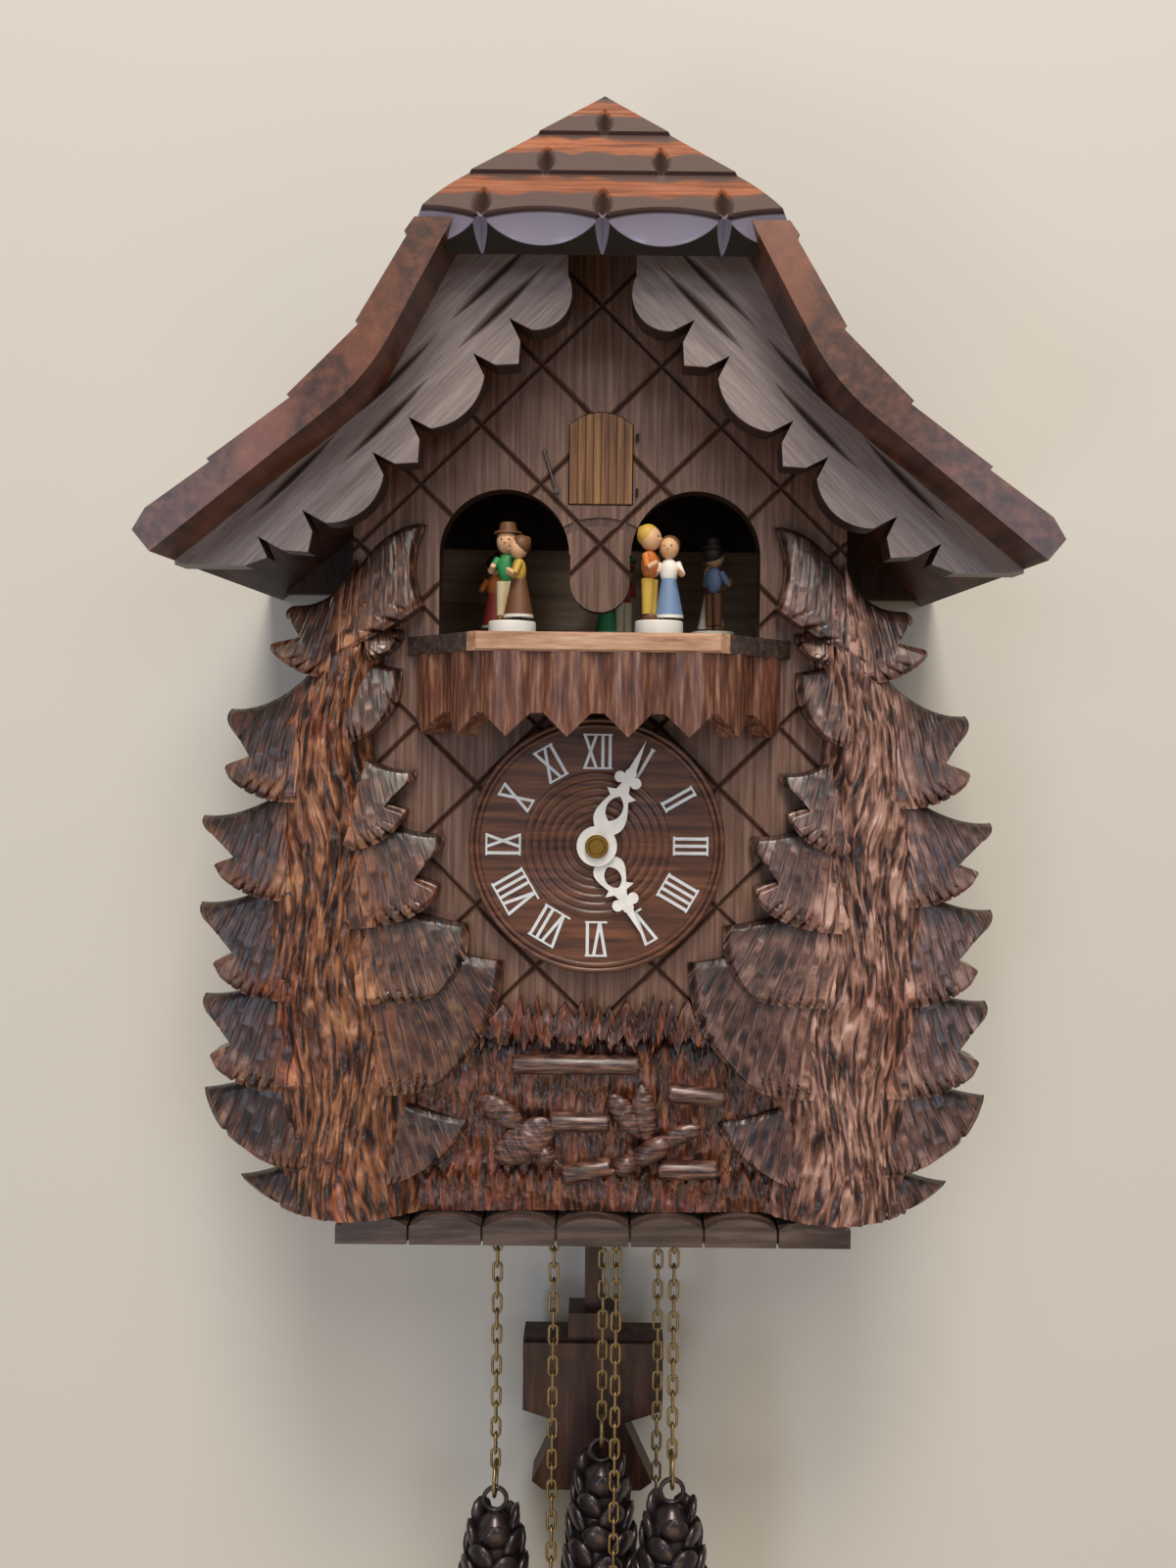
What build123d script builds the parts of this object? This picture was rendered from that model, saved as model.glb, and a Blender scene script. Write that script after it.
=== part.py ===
from build123d import *
import os
from math import cos, hypot, pi, radians, sin, sqrt

# A one-day musical cuckoo clock in the form of a chalet, in millimetres.
# X runs to the right, Y into the wall and Z up. The origin is the centre of the
# hanger hole on the wall plane. A depth is counted from the wall outwards, so a
# face at depth d lies at Y = -d.

# Clearances
SLIP = 0.4            # gap round a piece that moves past another
RUNNING_FIT = 0.05    # radial play of an arbor in its hole
SEAT = 0.3            # gap between a moving piece and its seat

# Case
CASE_HALF = 80.0      # half the width over the side walls
CASE_BOTTOM = -277.5
PANEL_FACE = 92.0     # depth of the front panel's face
PANEL_T = 8.0
BACK_T = 6.0
BACK_WING_Z = -71.0   # lower edge of the back board where it runs out under the eaves
WALL_T = 8.0
FLOOR_T = 8.0
HANGER_R = 4.0        # hole for the wall hook
HATCH_HALF = 50.0     # half width of the back door
HATCH_BOTTOM = -250.0
HATCH_TOP = -128.0

# Roof, with the slope given by its corners from the ridge to the eave
RIDGE_Z = 86.0
KNEE_X = 46.0
KNEE_Z = 36.0
BELL_X = 74.0
BELL_Z = -17.0
EAVE_X = 134.0
EAVE_Z = -66.05
KNEE_R = 60.0
BELL_R = 60.0
ROOF_T = 9.2
ROOF_DEPTH = 138.0
EAVE_BEVEL = 6.8      # length of the bevel on the eave's upper edge
EAVE_NOSE = 1.3       # drop of the eave's nose below the roof surface
SHINGLE = 28.5        # length of one course of shingles
SHINGLE_STEP = 1.2
GOUGE_PITCH = 27.0    # spacing of the gouge cuts along one course
GOUGE_LENGTH = 19.0
GOUGE_WIDTH = 4.4
GOUGE_DEPTH = 2.0

# Hip board over the front gable
HIP_T = 11.0
HIP_FRONT_Z = 23.0
HIP_APEX_DEPTH = 83.0
HIP_COURSES = 3
SCOOP_R = 34.0        # ball that hollows the front edge of the hip
SCOOP_HALF = 17.0     # half width of a hollow along the edge
SCOOP_DROP = 8.5      # how far a hollow reaches down the end face
SCOOP_PITCH = 35.0

# Verge boards, drawn along a line that falls at 45 degrees
VERGE_SETBACK = 20.0  # face behind the roof's front edge
VERGE_T = 10.0
VERGE_INNER = 10.3    # half the gap between the two boards at the top
VERGE_TOP_Z = 14.0    # where the first lobe leaves that gap
VERGE_END_Z = -74.4
NOTCH_N = -20.7       # tips of the notches, from the 45 degree line through the origin
NOTCH_DEPTH = 7.3
NOTCH_HALF = 2.4
SMALL_LOBE = 15.2
LARGE_LOBE = 27.4
SMALL_REACH = 4.6     # how far a lobe stands past its ends
LARGE_REACH = 3.9
FIRST_NOTCH = 19.0    # place of the first notch along the line
LOBES = 3
BEND_FROM = 80.0      # where the edge starts to bend inwards
VERGE_BEND = 6.0      # how far it has bent at the last notch
GROOVE_PLACES = ((14.0, 32.5), (56.0, 32.5), (98.0, 32.5), (17.5, 24.7), (67.7, 24.7))
GROOVE_LENGTH = 38.0
GROOVE_WIDTH = 3.4
GROOVE_DEPTH = 1.8

# Lattice on the front panel
LATTICE_TOP_Z = 14.6
LATTICE_DIAGONAL = 39.0
LATTICE_WIDTH = 2.8
LATTICE_DEPTH = 1.2
ARCH_R = 24.2         # carved arc over the tongue between the windows
ARCH_TOP = -54.3
ARCH_HALF = 13.5

# Windows and the cuckoo's door
WINDOW_X = 31.0
WINDOW_R = 21.0
WINDOW_Z = -66.5
TONGUE_BOTTOM = -85.0
DOOR_HALF = 10.1
DOOR_BOTTOM = -50.0
DOOR_TOP = -20.5
DOOR_RISE = 4.0       # rise of the door's arched top
DOOR_T = 4.0
DOOR_PROUD = 0.5
DOOR_FLUTES = 8
HINGE_OUT = 0.7       # hinge axis beyond the door's right edge
HINGE_PROUD = 1.3     # hinge axis in front of the panel
WIRE_R = 0.45

# Balcony and turntable
SILL_TOP = -93.8
SILL_T = 5.8
BAY_HALF = 36.4
BAY_ROOT_HALF = 62.0
SILL_RIM = 1.1        # wood left between the turntable's pocket and the lip
LIP_T = 4.0
TURN_DEPTH = 68.6     # depth of the turntable's axis
DISC_R = 49.5
DISC_T = 3.0
PICKET_DROP = 25.4    # sill underside to picket tip
PICKET_VALLEY = 18.4
PICKET_T = 5.0
PICKET_BULGE = 2.4
FRONT_PICKETS = 4
SIDE_PICKETS = 2
PICKET_SHARE = 0.78   # share of the pitch that a convex picket takes
COUPLES = 5
COUPLE_R = 40.0
COUPLE_TURN = 226.0   # direction of the first couple
PLINTH_R = 7.75
PLINTH_T = 5.0
DANCER_H = 33.0

# Dial and hands
DIAL_Z = -160.0
DIAL_R = 41.0
DIAL_T = 4.6
DIAL_HOLE = 5.4
RIM_BEAD = 0.9
RING_COUNT = 6
RING_FIRST = 8.0
RING_PITCH = 2.6
RING_BEAD = 0.5
NUMERAL_R = 30.0
NUMERAL_H = 10.7
NUMERAL_T = 0.3
STROKE = 1.0
STROKE_GAP = 2.3
HAND_T = 0.9
HOUR_TIP = 32.0
MINUTE_TIP = 37.0
MINUTE_TURN = 24.6    # clockwise from twelve
HOUR_TURN = 152.5
HUB_R = 6.4
LYRE_HALF = 5.2       # half width of a hand's pierced part
EYE_HALF = 2.4
LEAF_R = 1.8
SPUR = 5.0
POINT_HALF = 1.3
ARBOR_R = 2.4
CANNON_R = 3.2
PIPE_R = 4.6

# Firs, meadow and base trim; a bough is given by its tip and by its lower tip, x then z
TREE_T = 11.0
TRUNK_T = 16.0
TRUNK_X = 82.0
TRUNK_HALF = 15.0
TRUNK_TOP = -92.0
CROWN = ((56.0, -57.0), (66.0, -61.5), (73.5, -71.0), (79.0, -81.0))
OUTER_BOUGHS = ((99.0, -84.0, 104.4, -98.5), (118.5, -117.5, 118.0, -138.0),
                (127.0, -152.0, 120.5, -169.0), (127.5, -180.0, 120.5, -200.5),
                (126.0, -209.5, 121.4, -229.5), (126.0, -240.0, 104.6, -260.0), (114.0, -268.0, 81.0, -277.0))
INNER_BOUGHS = ((56.0, -84.0, 66.0, -88.0), (63.0, -91.5, 66.0, -98.5), (63.5, -104.0, 72.0, -125.0),
                (59.0, -136.5, 61.0, -151.0), (50.0, -157.0, 50.5, -175.5), (41.0, -186.0, 49.4, -207.0),
                (29.6, -198.0, 50.0, -236.0), (39.0, -249.0, 59.5, -265.6))
BOUGH_CUT = 8.0       # depth of the notch in the end of a bough with two tips
BOUGH_ROOT = 14.0     # from a tip in to where its bough comes out from under the one above
BOUGH_RISE = 2.0
BOUGH_BULGE = 0.12    # how far a bough with one tip bulges, as a share of its end's length
MEADOW_T = 5.0
MEADOW_TOP = -207.0
MEADOW_HALF = 62.0
TUFTS = 9
TUFT_H = 9.0
RAIL_R = 3.4
RAILS = ((-6.0, -230.5, 41.0), (-4.7, -249.0, 19.4), (32.7, -240.0, 18.5), (-2.0, -264.5, 16.0),
         (30.0, -264.0, 19.4))          # x, z and length
FINCHES = ((-25.0, -249.0, -110.0, 60.0), (18.0, -252.0, 205.0, 100.0))  # x, z, turn of tail and wings
FINCH_HALF = 9.0
FINCH_GIRTH = 3.6
FINCH_TAIL = 17.0
TRIM_HALF = 82.0
TRIM_FACE = 101.0
TRIM_H = 9.0
TRIM_ARCH = 3.2
TRIM_BLOCKS = 7
TRIM_GAP = 0.8

# Movement
PLATE_HALF = 35.0
PLATE_T = 1.5
PLATE_TOP = -108.0
PLATE_BOTTOM = -215.0
FRONT_PLATE = 60.0    # depth of the front plate's back face
BACK_PLATE = 34.5     # depth of the back plate's back face
PILLAR_R = 3.0
SPINDLE_R = 1.5
CENTRE_STEP = 21.0    # centre arbor to minute wheel arbor
CANNON_TEETH = 14
MINUTE_TEETH = 42
PINION_TEETH = 12
HOUR_TEETH = 48
WHEEL_T = 2.2
WHEEL_GAP = 0.8
ESCAPE_Z = -143.0
ESCAPE_R = 10.5
ESCAPE_TEETH = 15
PALLET_Z = -128.0
PALLET_REACH = 8.0

# Chains and weights
CHAIN_WIRE = 1.0
LINK_PITCH = 5.5
LINK_WIDTH = 3.9
LINK_PLAY = 0.3
SPROCKET_R = 10.0
SPROCKET_T = 2.4
TRAIN_Z = -195.0
MUSIC_Z = -240.0
GOING_X = -24.0
STRIKE_X = 13.5
MUSIC_X = 18.0
GOING_DEPTH = 56.0
STRIKE_DEPTH = 45.0
MUSIC_DEPTH = 66.0
GOING_RING_Z = -390.0
STRIKE_RING_Z = -374.0
MUSIC_RING_Z = -378.0
FREE_END_Z = -540.0
RING_R = 5.5
RING_WIRE = 1.3
CONE_R = 15.0
CONE_H = 112.0
CONE_ROWS = 9
LOOP_R = 4.0
LOOP_WIRE = 1.6

# Pendulum
SWING_DEPTH = 21.0
LEADER_DEPTH = 25.5
LEADER_R = 0.8
HOOK_Z = -262.0
ROD_W = 7.0
ROD_T = 4.0
BOB_TOP = -345.0
BOB_BOTTOM = -412.0
BOB_W = 53.0
BOB_T = 12.0
PENDULUM_SLOT = 16.0  # half width of its slot in the floor

# Cuckoo, bellows, gong and music
BIRD_LENGTH = 26.0
BIRD_R = 4.0
BEAK_DEPTH = 78.0
ARM_W = 6.0
ARM_T = 2.4
ARM_REACH = 44.0
GUIDE_W = 14.0
LATCH_X = -14.3
LATCH_Z = -46.0
LATCH_L = 14.0
LATCH_LEAN = 18.0
BELLOWS_W = 18.0
BELLOWS_D = 44.0
BELLOWS_H = 96.0
BELLOWS_TOP = -116.0
LID_T = 3.0
GONG_Z = -86.0
GONG_TURNS = 4
GONG_INNER = 10.0
GONG_STEP = 4.0
GONG_WIRE = 2.0
GONG_DEPTH = 9.5
MUSIC_LEFT = -38.0
MUSIC_RIGHT = 2.0
MUSIC_TOP = -226.0
CYLINDER_R = 8.0
CYLINDER_DEPTH = 73.0
BRIDGE_T = 3.0
BRIDGE_W = 20.0
TURN_TEETH = 44
SHAFT_TEETH = 33
TURN_MODULE = 0.6
SHAFT_R = 2.0
SHAFT_FOOT = -222.0
STAGE_TOP = -54.0     # board that closes the view behind the windows
STAGE_BOTTOM = -108.0
STAGE_T = 2.0
BATTEN_T = 4.0
BATTEN_H = 12.0

# Worked out from the driving dimensions
PANEL_BACK = PANEL_FACE - PANEL_T
VERGE_FACE = ROOF_DEPTH - VERGE_SETBACK
INNER_HALF = CASE_HALF - WALL_T
FLOOR_TOP = CASE_BOTTOM + FLOOR_T
SILL_BOTTOM = SILL_TOP - SILL_T
POCKET_FLOOR = SILL_TOP - DISC_T - SLIP
POCKET_R = DISC_R + 2 * SLIP
BAY_FACE = TURN_DEPTH + POCKET_R + SILL_RIM + LIP_T
STAGE_FRONT = TURN_DEPTH - DISC_R - SILL_RIM
HINGE_X = DOOR_HALF + HINGE_OUT
HINGE_DEPTH = PANEL_FACE + HINGE_PROUD
DIAL_FACE = PANEL_FACE + DIAL_T
MINUTE_MODULE = 2 * CENTRE_STEP / (CANNON_TEETH + MINUTE_TEETH)
HOUR_MODULE = 2 * CENTRE_STEP / (PINION_TEETH + HOUR_TEETH)
TURN_STEP = TURN_MODULE * (TURN_TEETH + SHAFT_TEETH) / 2
TURN_GEAR_Z = SILL_TOP - DISC_T - WHEEL_T
BRIDGE_TOP = TURN_GEAR_Z - WHEEL_GAP
MINUTE_Z = DIAL_Z - CENTRE_STEP
FRONT_PLATE_FACE = FRONT_PLATE + PLATE_T
ROOT_2 = sqrt(2)

os.makedirs("parts", exist_ok=True)


def keep(piece, name):
    """Label a finished piece and write its file."""
    piece.label = name
    export_step(piece, f"parts/{name}.step")


def at(x, depth, z):
    """Point at a depth from the wall."""
    return (x, -depth, z)


def mid(x, near, far, z):
    """Centre of what reaches from one depth to another."""
    return (x, -(near + far) / 2, z)


def facing(depth):
    """Plane parallel to the wall, seen from the front."""
    return Plane.XZ.offset(depth)


def roof_corners(inset):
    """Corners of the right roof slope from ridge to eave, moved inwards by inset."""
    line = [Vector(0, RIDGE_Z), Vector(KNEE_X, KNEE_Z), Vector(BELL_X, BELL_Z), Vector(EAVE_X, EAVE_Z)]
    runs = [(b - a).normalized() for a, b in zip(line, line[1:])]
    inward = [Vector(run.Y, -run.X) for run in runs]
    corners = [Vector(0, RIDGE_Z - inset / runs[0].X)]
    for k in (1, 2):
        both = inward[k - 1] + inward[k]
        corners.append(line[k] + both * (2 * inset / both.length**2))
    corners.append(line[3] + inward[2] * inset)
    return corners


def roof_radii(inset):
    """Radii at the knee and at the bell of the slope, moved inwards by inset."""
    return [KNEE_R - inset, BELL_R + inset]


def under_roof(half_width, bottom, inset=ROOF_T):
    """Outline below the roof boards, cut at half_width each side and at bottom."""
    with BuildSketch() as outline:
        with BuildLine():
            slope = FilletPolyline(*roof_corners(inset), radius=roof_radii(inset))
            eave = slope @ 1
            Polyline(eave, (eave.X, CASE_BOTTOM), (0, CASE_BOTTOM), slope @ 0)
        make_face()
        mirror(about=Plane.YZ)
        with Locations((0, (bottom + RIDGE_Z + HIP_T) / 2)):
            Rectangle(2 * half_width, RIDGE_Z + HIP_T - bottom, mode=Mode.INTERSECT)
    return outline.sketch


def gouge(place, along, out, length, width, depth):
    """Boat-shaped cut of a V tool into the surface at place, running along."""
    radius = (length**2 / 4 + depth**2) / (2 * depth)
    rise = width * radius / (2 * depth)
    centre = Vector(*place) + Vector(*out) * (radius - depth)
    across = Vector(*along).cross(Vector(*out)).normalized()
    with BuildPart() as cutter:
        with BuildSketch(Plane(origin=centre, x_dir=-Vector(*out), z_dir=Vector(*along))):
            Polygon((0, -rise), (radius, 0), (0, rise), align=None)
        revolve(axis=Axis(centre, across))
    return cutter.part


def gear_outline(teeth, module, tooth_at=0.0, gap_at=None):
    """Toothed outline with a tooth, or a gap, at the given direction in degrees."""
    turn = 360 / teeth
    start = tooth_at if gap_at is None else gap_at + turn / 2
    pitch_r = module * teeth / 2
    flank = ((-0.33, -1.2), (-0.205, 0.0), (-0.09, 0.9), (0.09, 0.9), (0.205, 0.0), (0.33, -1.2))
    corners = []
    for k in range(teeth):
        for share, height in flank:
            angle = radians(start + (k + share) * turn)
            radius = pitch_r + height * module
            corners.append((radius * cos(angle), radius * sin(angle)))
    with BuildSketch() as outline:
        with BuildLine():
            Polyline(*corners, close=True)
        make_face()
    return outline.sketch


def hip_space():
    """Everything above the underside of the hip board."""
    foot = HIP_FOOT - HIP_OUT * HIP_T
    reach = 2 * HIP_T + RIDGE_Z
    with BuildPart() as space:
        with BuildSketch(Plane.YZ) as side:
            with BuildLine():
                Polyline(foot, foot + HIP_OUT * reach, foot + HIP_OUT * reach + HIP_UP * 2 * reach,
                         foot + HIP_UP * 2 * reach, close=True)
            make_face()
        extrude(amount=EAVE_X, both=True)
    return space.part


# Side view of the hip board, with Y across and Z up
HIP_FOOT = Vector(-ROOF_DEPTH, HIP_FRONT_Z)
HIP_TOP = Vector(-HIP_APEX_DEPTH, RIDGE_Z)
HIP_UP = (HIP_TOP - HIP_FOOT).normalized()
HIP_OUT = Vector(-HIP_UP.Y, HIP_UP.X)
HIP_LENGTH = (HIP_TOP - HIP_FOOT).length

# Outline of the case, which the panel, the back board and the walls share
case_outline = under_roof(CASE_HALF, CASE_BOTTOM)
hip_cut = hip_space()

# Roof boards: stepped courses above, smooth underside, gouge cuts on every course
with BuildLine() as slope:
    FilletPolyline(*roof_corners(0), radius=roof_radii(0))
slope_wire = slope.wire()
courses = round(slope_wire.length / SHINGLE)
surface = [slope_wire @ (k / courses) for k in range(courses + 1)]
falls = [slope_wire % (k / courses) for k in range(courses + 1)]
outward = [Vector(-fall.Y, fall.X) for fall in falls]
steps = [surface[0]]
for k in range(1, courses):
    steps += [surface[k] + outward[k] * SHINGLE_STEP, surface[k]]
eave_top = surface[-1] - falls[-1] * EAVE_BEVEL + outward[-1] * SHINGLE_STEP
eave_nose = surface[-1] - outward[-1] * EAVE_NOSE

with BuildPart() as roof_right:
    with BuildSketch(Plane.XZ):
        with BuildLine():
            lower = FilletPolyline(*roof_corners(ROOF_T), radius=roof_radii(ROOF_T))
            Polyline(*steps, eave_top, eave_nose, lower @ 1)
            Line(lower @ 0, surface[0])
        make_face()
    extrude(amount=ROOF_DEPTH)
    add(hip_cut, mode=Mode.SUBTRACT)
    cuts = []
    for k in range(courses):
        low = surface[k + 1] if k + 1 < courses else eave_top
        spot = surface[k] * 0.4 + low * 0.6
        fall = (low - surface[k]).normalized()
        count = int(ROOF_DEPTH / GOUGE_PITCH)
        for j in range(count):
            depth = (j + (0.25 if k % 2 else 0.75)) * GOUGE_PITCH
            top_z = HIP_FRONT_Z + (ROOF_DEPTH - depth) * HIP_UP.Y / HIP_UP.X
            if spot.Y < top_z - GOUGE_LENGTH:
                cuts.append(gouge(at(spot.X, depth, spot.Y), (fall.X, 0, fall.Y), (-fall.Y, 0, fall.X),
                                  GOUGE_LENGTH, GOUGE_WIDTH, GOUGE_DEPTH))
    add(cuts, mode=Mode.SUBTRACT)
keep(roof_right.part, "roof_right")

with BuildPart() as roof_left:
    mirror(roof_right.part, about=Plane.YZ)
keep(roof_left.part, "roof_left")

# Hip board: three stepped courses, a square end with two hollows and gouge cuts
hip_steps = [HIP_FOOT - HIP_OUT * HIP_T]
for k in range(HIP_COURSES):
    line_point = HIP_FOOT + HIP_UP * (HIP_LENGTH * k / HIP_COURSES)
    hip_steps += [line_point + HIP_OUT * SHINGLE_STEP, line_point + HIP_UP * (HIP_LENGTH / HIP_COURSES)]
hip_steps += [HIP_TOP + HIP_UP * HIP_T, HIP_TOP + HIP_UP * HIP_T - HIP_OUT * HIP_T]
with BuildPart() as roof_hip:
    with BuildSketch(Plane.YZ):
        with BuildLine():
            Polyline(*hip_steps, close=True)
        make_face()
    extrude(amount=EAVE_X, both=True)
    with BuildSketch(Plane.XZ):
        add(under_roof(EAVE_X, BELL_Z, -SHINGLE_STEP))
    extrude(amount=ROOF_DEPTH + HIP_T, mode=Mode.INTERSECT)
    fall = (0, -HIP_UP.X, -HIP_UP.Y)
    out = (0, HIP_OUT.X, HIP_OUT.Y)
    cuts = []
    for k in range(HIP_COURSES):
        spread = HIP_COURSES - 1 - k
        middle = HIP_FOOT + HIP_UP * (HIP_LENGTH * (k + 0.3) / HIP_COURSES)
        for j in range(spread + 1):
            x = (j - spread / 2) * SCOOP_PITCH
            cuts.append(gouge((x, middle.X, middle.Y), fall, out, GOUGE_LENGTH, GOUGE_WIDTH, GOUGE_DEPTH))
    end = HIP_FOOT - HIP_OUT * (HIP_T * 0.1)
    for j in (-1, 0, 1):
        cuts.append(gouge((j * SCOOP_PITCH, end.X, end.Y), out, fall,
                          HIP_T * 2, GOUGE_WIDTH, GOUGE_DEPTH * 1.6))
    add(cuts, mode=Mode.SUBTRACT)
    rim_r = (SCOOP_HALF**2 / SCOOP_DROP + SCOOP_DROP) / 2
    hollow = HIP_FOOT - HIP_UP * sqrt(SCOOP_R**2 - rim_r**2) + HIP_OUT * (rim_r - SCOOP_DROP)
    with Locations(*[(j * SCOOP_PITCH, hollow.X, hollow.Y) for j in (-1.5, -0.5, 0.5, 1.5)]):
        Sphere(SCOOP_R, mode=Mode.SUBTRACT)
keep(roof_hip.part, "roof_hip")

# Verge boards: notched lower edge drawn along the 45 degree line, top edge under the roof
def verge_point(s, n):
    """Point s along the falling 45 degree line and n inwards of it, right-hand side."""
    return ((s - n) / ROOT_2, -(s + n) / ROOT_2)


def verge_edge(s, reach):
    """Point s along the lower edge, which bends near the eave, and reach out from its notch tips."""
    bent = max(0.0, (s - BEND_FROM) / (notches[-1] - BEND_FROM))
    return verge_point(s, NOTCH_N + reach - VERGE_BEND * bent**2)


notches = []
for k in range(LOBES):
    notches.append(FIRST_NOTCH + k * (SMALL_LOBE + LARGE_LOBE))
    notches.append(notches[-1] + SMALL_LOBE)
with BuildPart() as verge_right:
    with BuildSketch(facing(VERGE_FACE - VERGE_T)):
        with BuildLine():
            first = notches[0] - NOTCH_HALF
            ThreePointArc((VERGE_INNER, VERGE_TOP_Z),
                          verge_edge(first - SMALL_LOBE / 2, NOTCH_DEPTH + LARGE_REACH),
                          verge_edge(first, NOTCH_DEPTH))
            for k, place in enumerate(notches):
                Polyline(verge_edge(place - NOTCH_HALF, NOTCH_DEPTH), verge_edge(place, 0),
                         verge_edge(place + NOTCH_HALF, NOTCH_DEPTH))
                if k + 1 == len(notches):
                    break
                start = place + NOTCH_HALF
                stop = notches[k + 1] - NOTCH_HALF
                if k % 2 == 0:
                    Polyline(verge_edge(start, NOTCH_DEPTH),
                             verge_edge((start + stop) / 2, NOTCH_DEPTH + SMALL_REACH),
                             verge_edge(stop, NOTCH_DEPTH))
                else:
                    ThreePointArc(verge_edge(start, NOTCH_DEPTH),
                                  verge_edge((start + stop) / 2, NOTCH_DEPTH + LARGE_REACH),
                                  verge_edge(stop, NOTCH_DEPTH))
            Polyline(verge_edge(notches[-1] + NOTCH_HALF, NOTCH_DEPTH), (EAVE_X, VERGE_END_Z - VERGE_T),
                     (2 * EAVE_X, EAVE_Z), (VERGE_INNER, RIDGE_Z), (VERGE_INNER, VERGE_TOP_Z))
        make_face()
        add(under_roof(EAVE_X, VERGE_END_Z), mode=Mode.INTERSECT)
    extrude(amount=VERGE_T)
    add(hip_cut, mode=Mode.SUBTRACT)
    cuts = []
    for along, inwards in GROOVE_PLACES:
        place = verge_point(along, -inwards)
        cuts.append(gouge(at(place[0], VERGE_FACE, place[1]), (1 / ROOT_2, 0, -1 / ROOT_2), (0, -1, 0),
                          GROOVE_LENGTH, GROOVE_WIDTH, GROOVE_DEPTH))
    add(cuts, mode=Mode.SUBTRACT)
keep(verge_right.part, "verge_right")

with BuildPart() as verge_left:
    mirror(verge_right.part, about=Plane.YZ)
keep(verge_left.part, "verge_left")

# Front panel with its windows, door opening, arbor hole and lattice
window_drop = WINDOW_Z - POCKET_FLOOR
lattice = []
for lean in (1, -1):
    for k in range(-10, 12):
        lattice.append(Plane(origin=at(0, PANEL_FACE, LATTICE_TOP_Z - k * LATTICE_DIAGONAL),
                             x_dir=(-lean, 0, 1), z_dir=(1, 0, lean)))
with BuildPart() as front_panel:
    with BuildSketch(facing(PANEL_BACK)):
        add(case_outline)
        with Locations((-WINDOW_X, WINDOW_Z), (WINDOW_X, WINDOW_Z)):
            Circle(WINDOW_R, mode=Mode.SUBTRACT)
        with Locations((0, WINDOW_Z - window_drop / 2)):
            Rectangle(2 * (WINDOW_X + WINDOW_R), window_drop, mode=Mode.SUBTRACT)
        tongue_half = WINDOW_X - WINDOW_R - SLIP
        with Locations((0, TONGUE_BOTTOM + tongue_half)):
            Circle(tongue_half)
        with Locations((0, (WINDOW_Z + TONGUE_BOTTOM + tongue_half) / 2)):
            Rectangle(2 * tongue_half, WINDOW_Z - TONGUE_BOTTOM - tongue_half)
        with Locations((0, DIAL_Z)):
            Circle(DIAL_HOLE, mode=Mode.SUBTRACT)
        with BuildLine():
            half = DOOR_HALF + SLIP
            spring = DOOR_TOP - DOOR_RISE
            Polyline((-half, spring), (-half, DOOR_BOTTOM - SLIP), (half, DOOR_BOTTOM - SLIP), (half, spring))
            ThreePointArc((-half, spring), (0, DOOR_TOP + SLIP), (half, spring))
        make_face(mode=Mode.SUBTRACT)
    extrude(amount=PANEL_T)
    add(hip_cut, mode=Mode.SUBTRACT)
    with BuildSketch(*lattice):
        Polygon((-LATTICE_WIDTH / 2, SLIP), (0, -LATTICE_DEPTH), (LATTICE_WIDTH / 2, SLIP), align=None)
    extrude(amount=4 * CASE_HALF, both=True, mode=Mode.SUBTRACT)
    with BuildSketch(facing(PANEL_FACE)):
        with Locations((0, ARCH_TOP - ARCH_R)):
            Circle(ARCH_R)
            Circle(ARCH_R - LATTICE_WIDTH, mode=Mode.SUBTRACT)
        with Locations((0, ARCH_TOP)):
            Rectangle(2 * ARCH_HALF, ARCH_HALF, mode=Mode.INTERSECT)
    extrude(amount=-LATTICE_DEPTH / 2, mode=Mode.SUBTRACT)
keep(front_panel.part, "front_panel")

# Back board with wings under the eaves, the hanger hole and the opening of the back door
with BuildPart() as back_board:
    with BuildSketch(Plane.XZ):
        add(case_outline)
        add(under_roof(EAVE_X, BACK_WING_Z))
        Circle(HANGER_R, mode=Mode.SUBTRACT)
        with Locations((0, (HATCH_TOP + HATCH_BOTTOM) / 2)):
            Rectangle(2 * (HATCH_HALF + SLIP), HATCH_TOP - HATCH_BOTTOM + 2 * SLIP, mode=Mode.SUBTRACT)
    extrude(amount=BACK_T)
keep(back_board.part, "back_board")

with BuildPart() as back_door:
    with Locations(mid(0, 0, BACK_T, (HATCH_TOP + HATCH_BOTTOM) / 2)):
        Box(2 * HATCH_HALF, BACK_T, HATCH_TOP - HATCH_BOTTOM)
    knob = at(HATCH_HALF - 2 * BACK_T, BACK_T / 2, (HATCH_TOP + HATCH_BOTTOM) / 2)
    with Locations(knob):
        Cylinder(HANGER_R, BACK_T, rotation=(90, 0, 0), mode=Mode.SUBTRACT)
keep(back_door.part, "back_door")

# Side walls and floor
for side, name in ((-1, "left_wall"), (1, "right_wall")):
    with BuildPart() as wall:
        with BuildSketch(facing(BACK_T)):
            add(case_outline)
            with Locations((side * (CASE_HALF - WALL_T / 2), 0)):
                Rectangle(WALL_T, -2 * CASE_BOTTOM, mode=Mode.INTERSECT)
        extrude(amount=PANEL_BACK - BACK_T)
    keep(wall.part, name)

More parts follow.
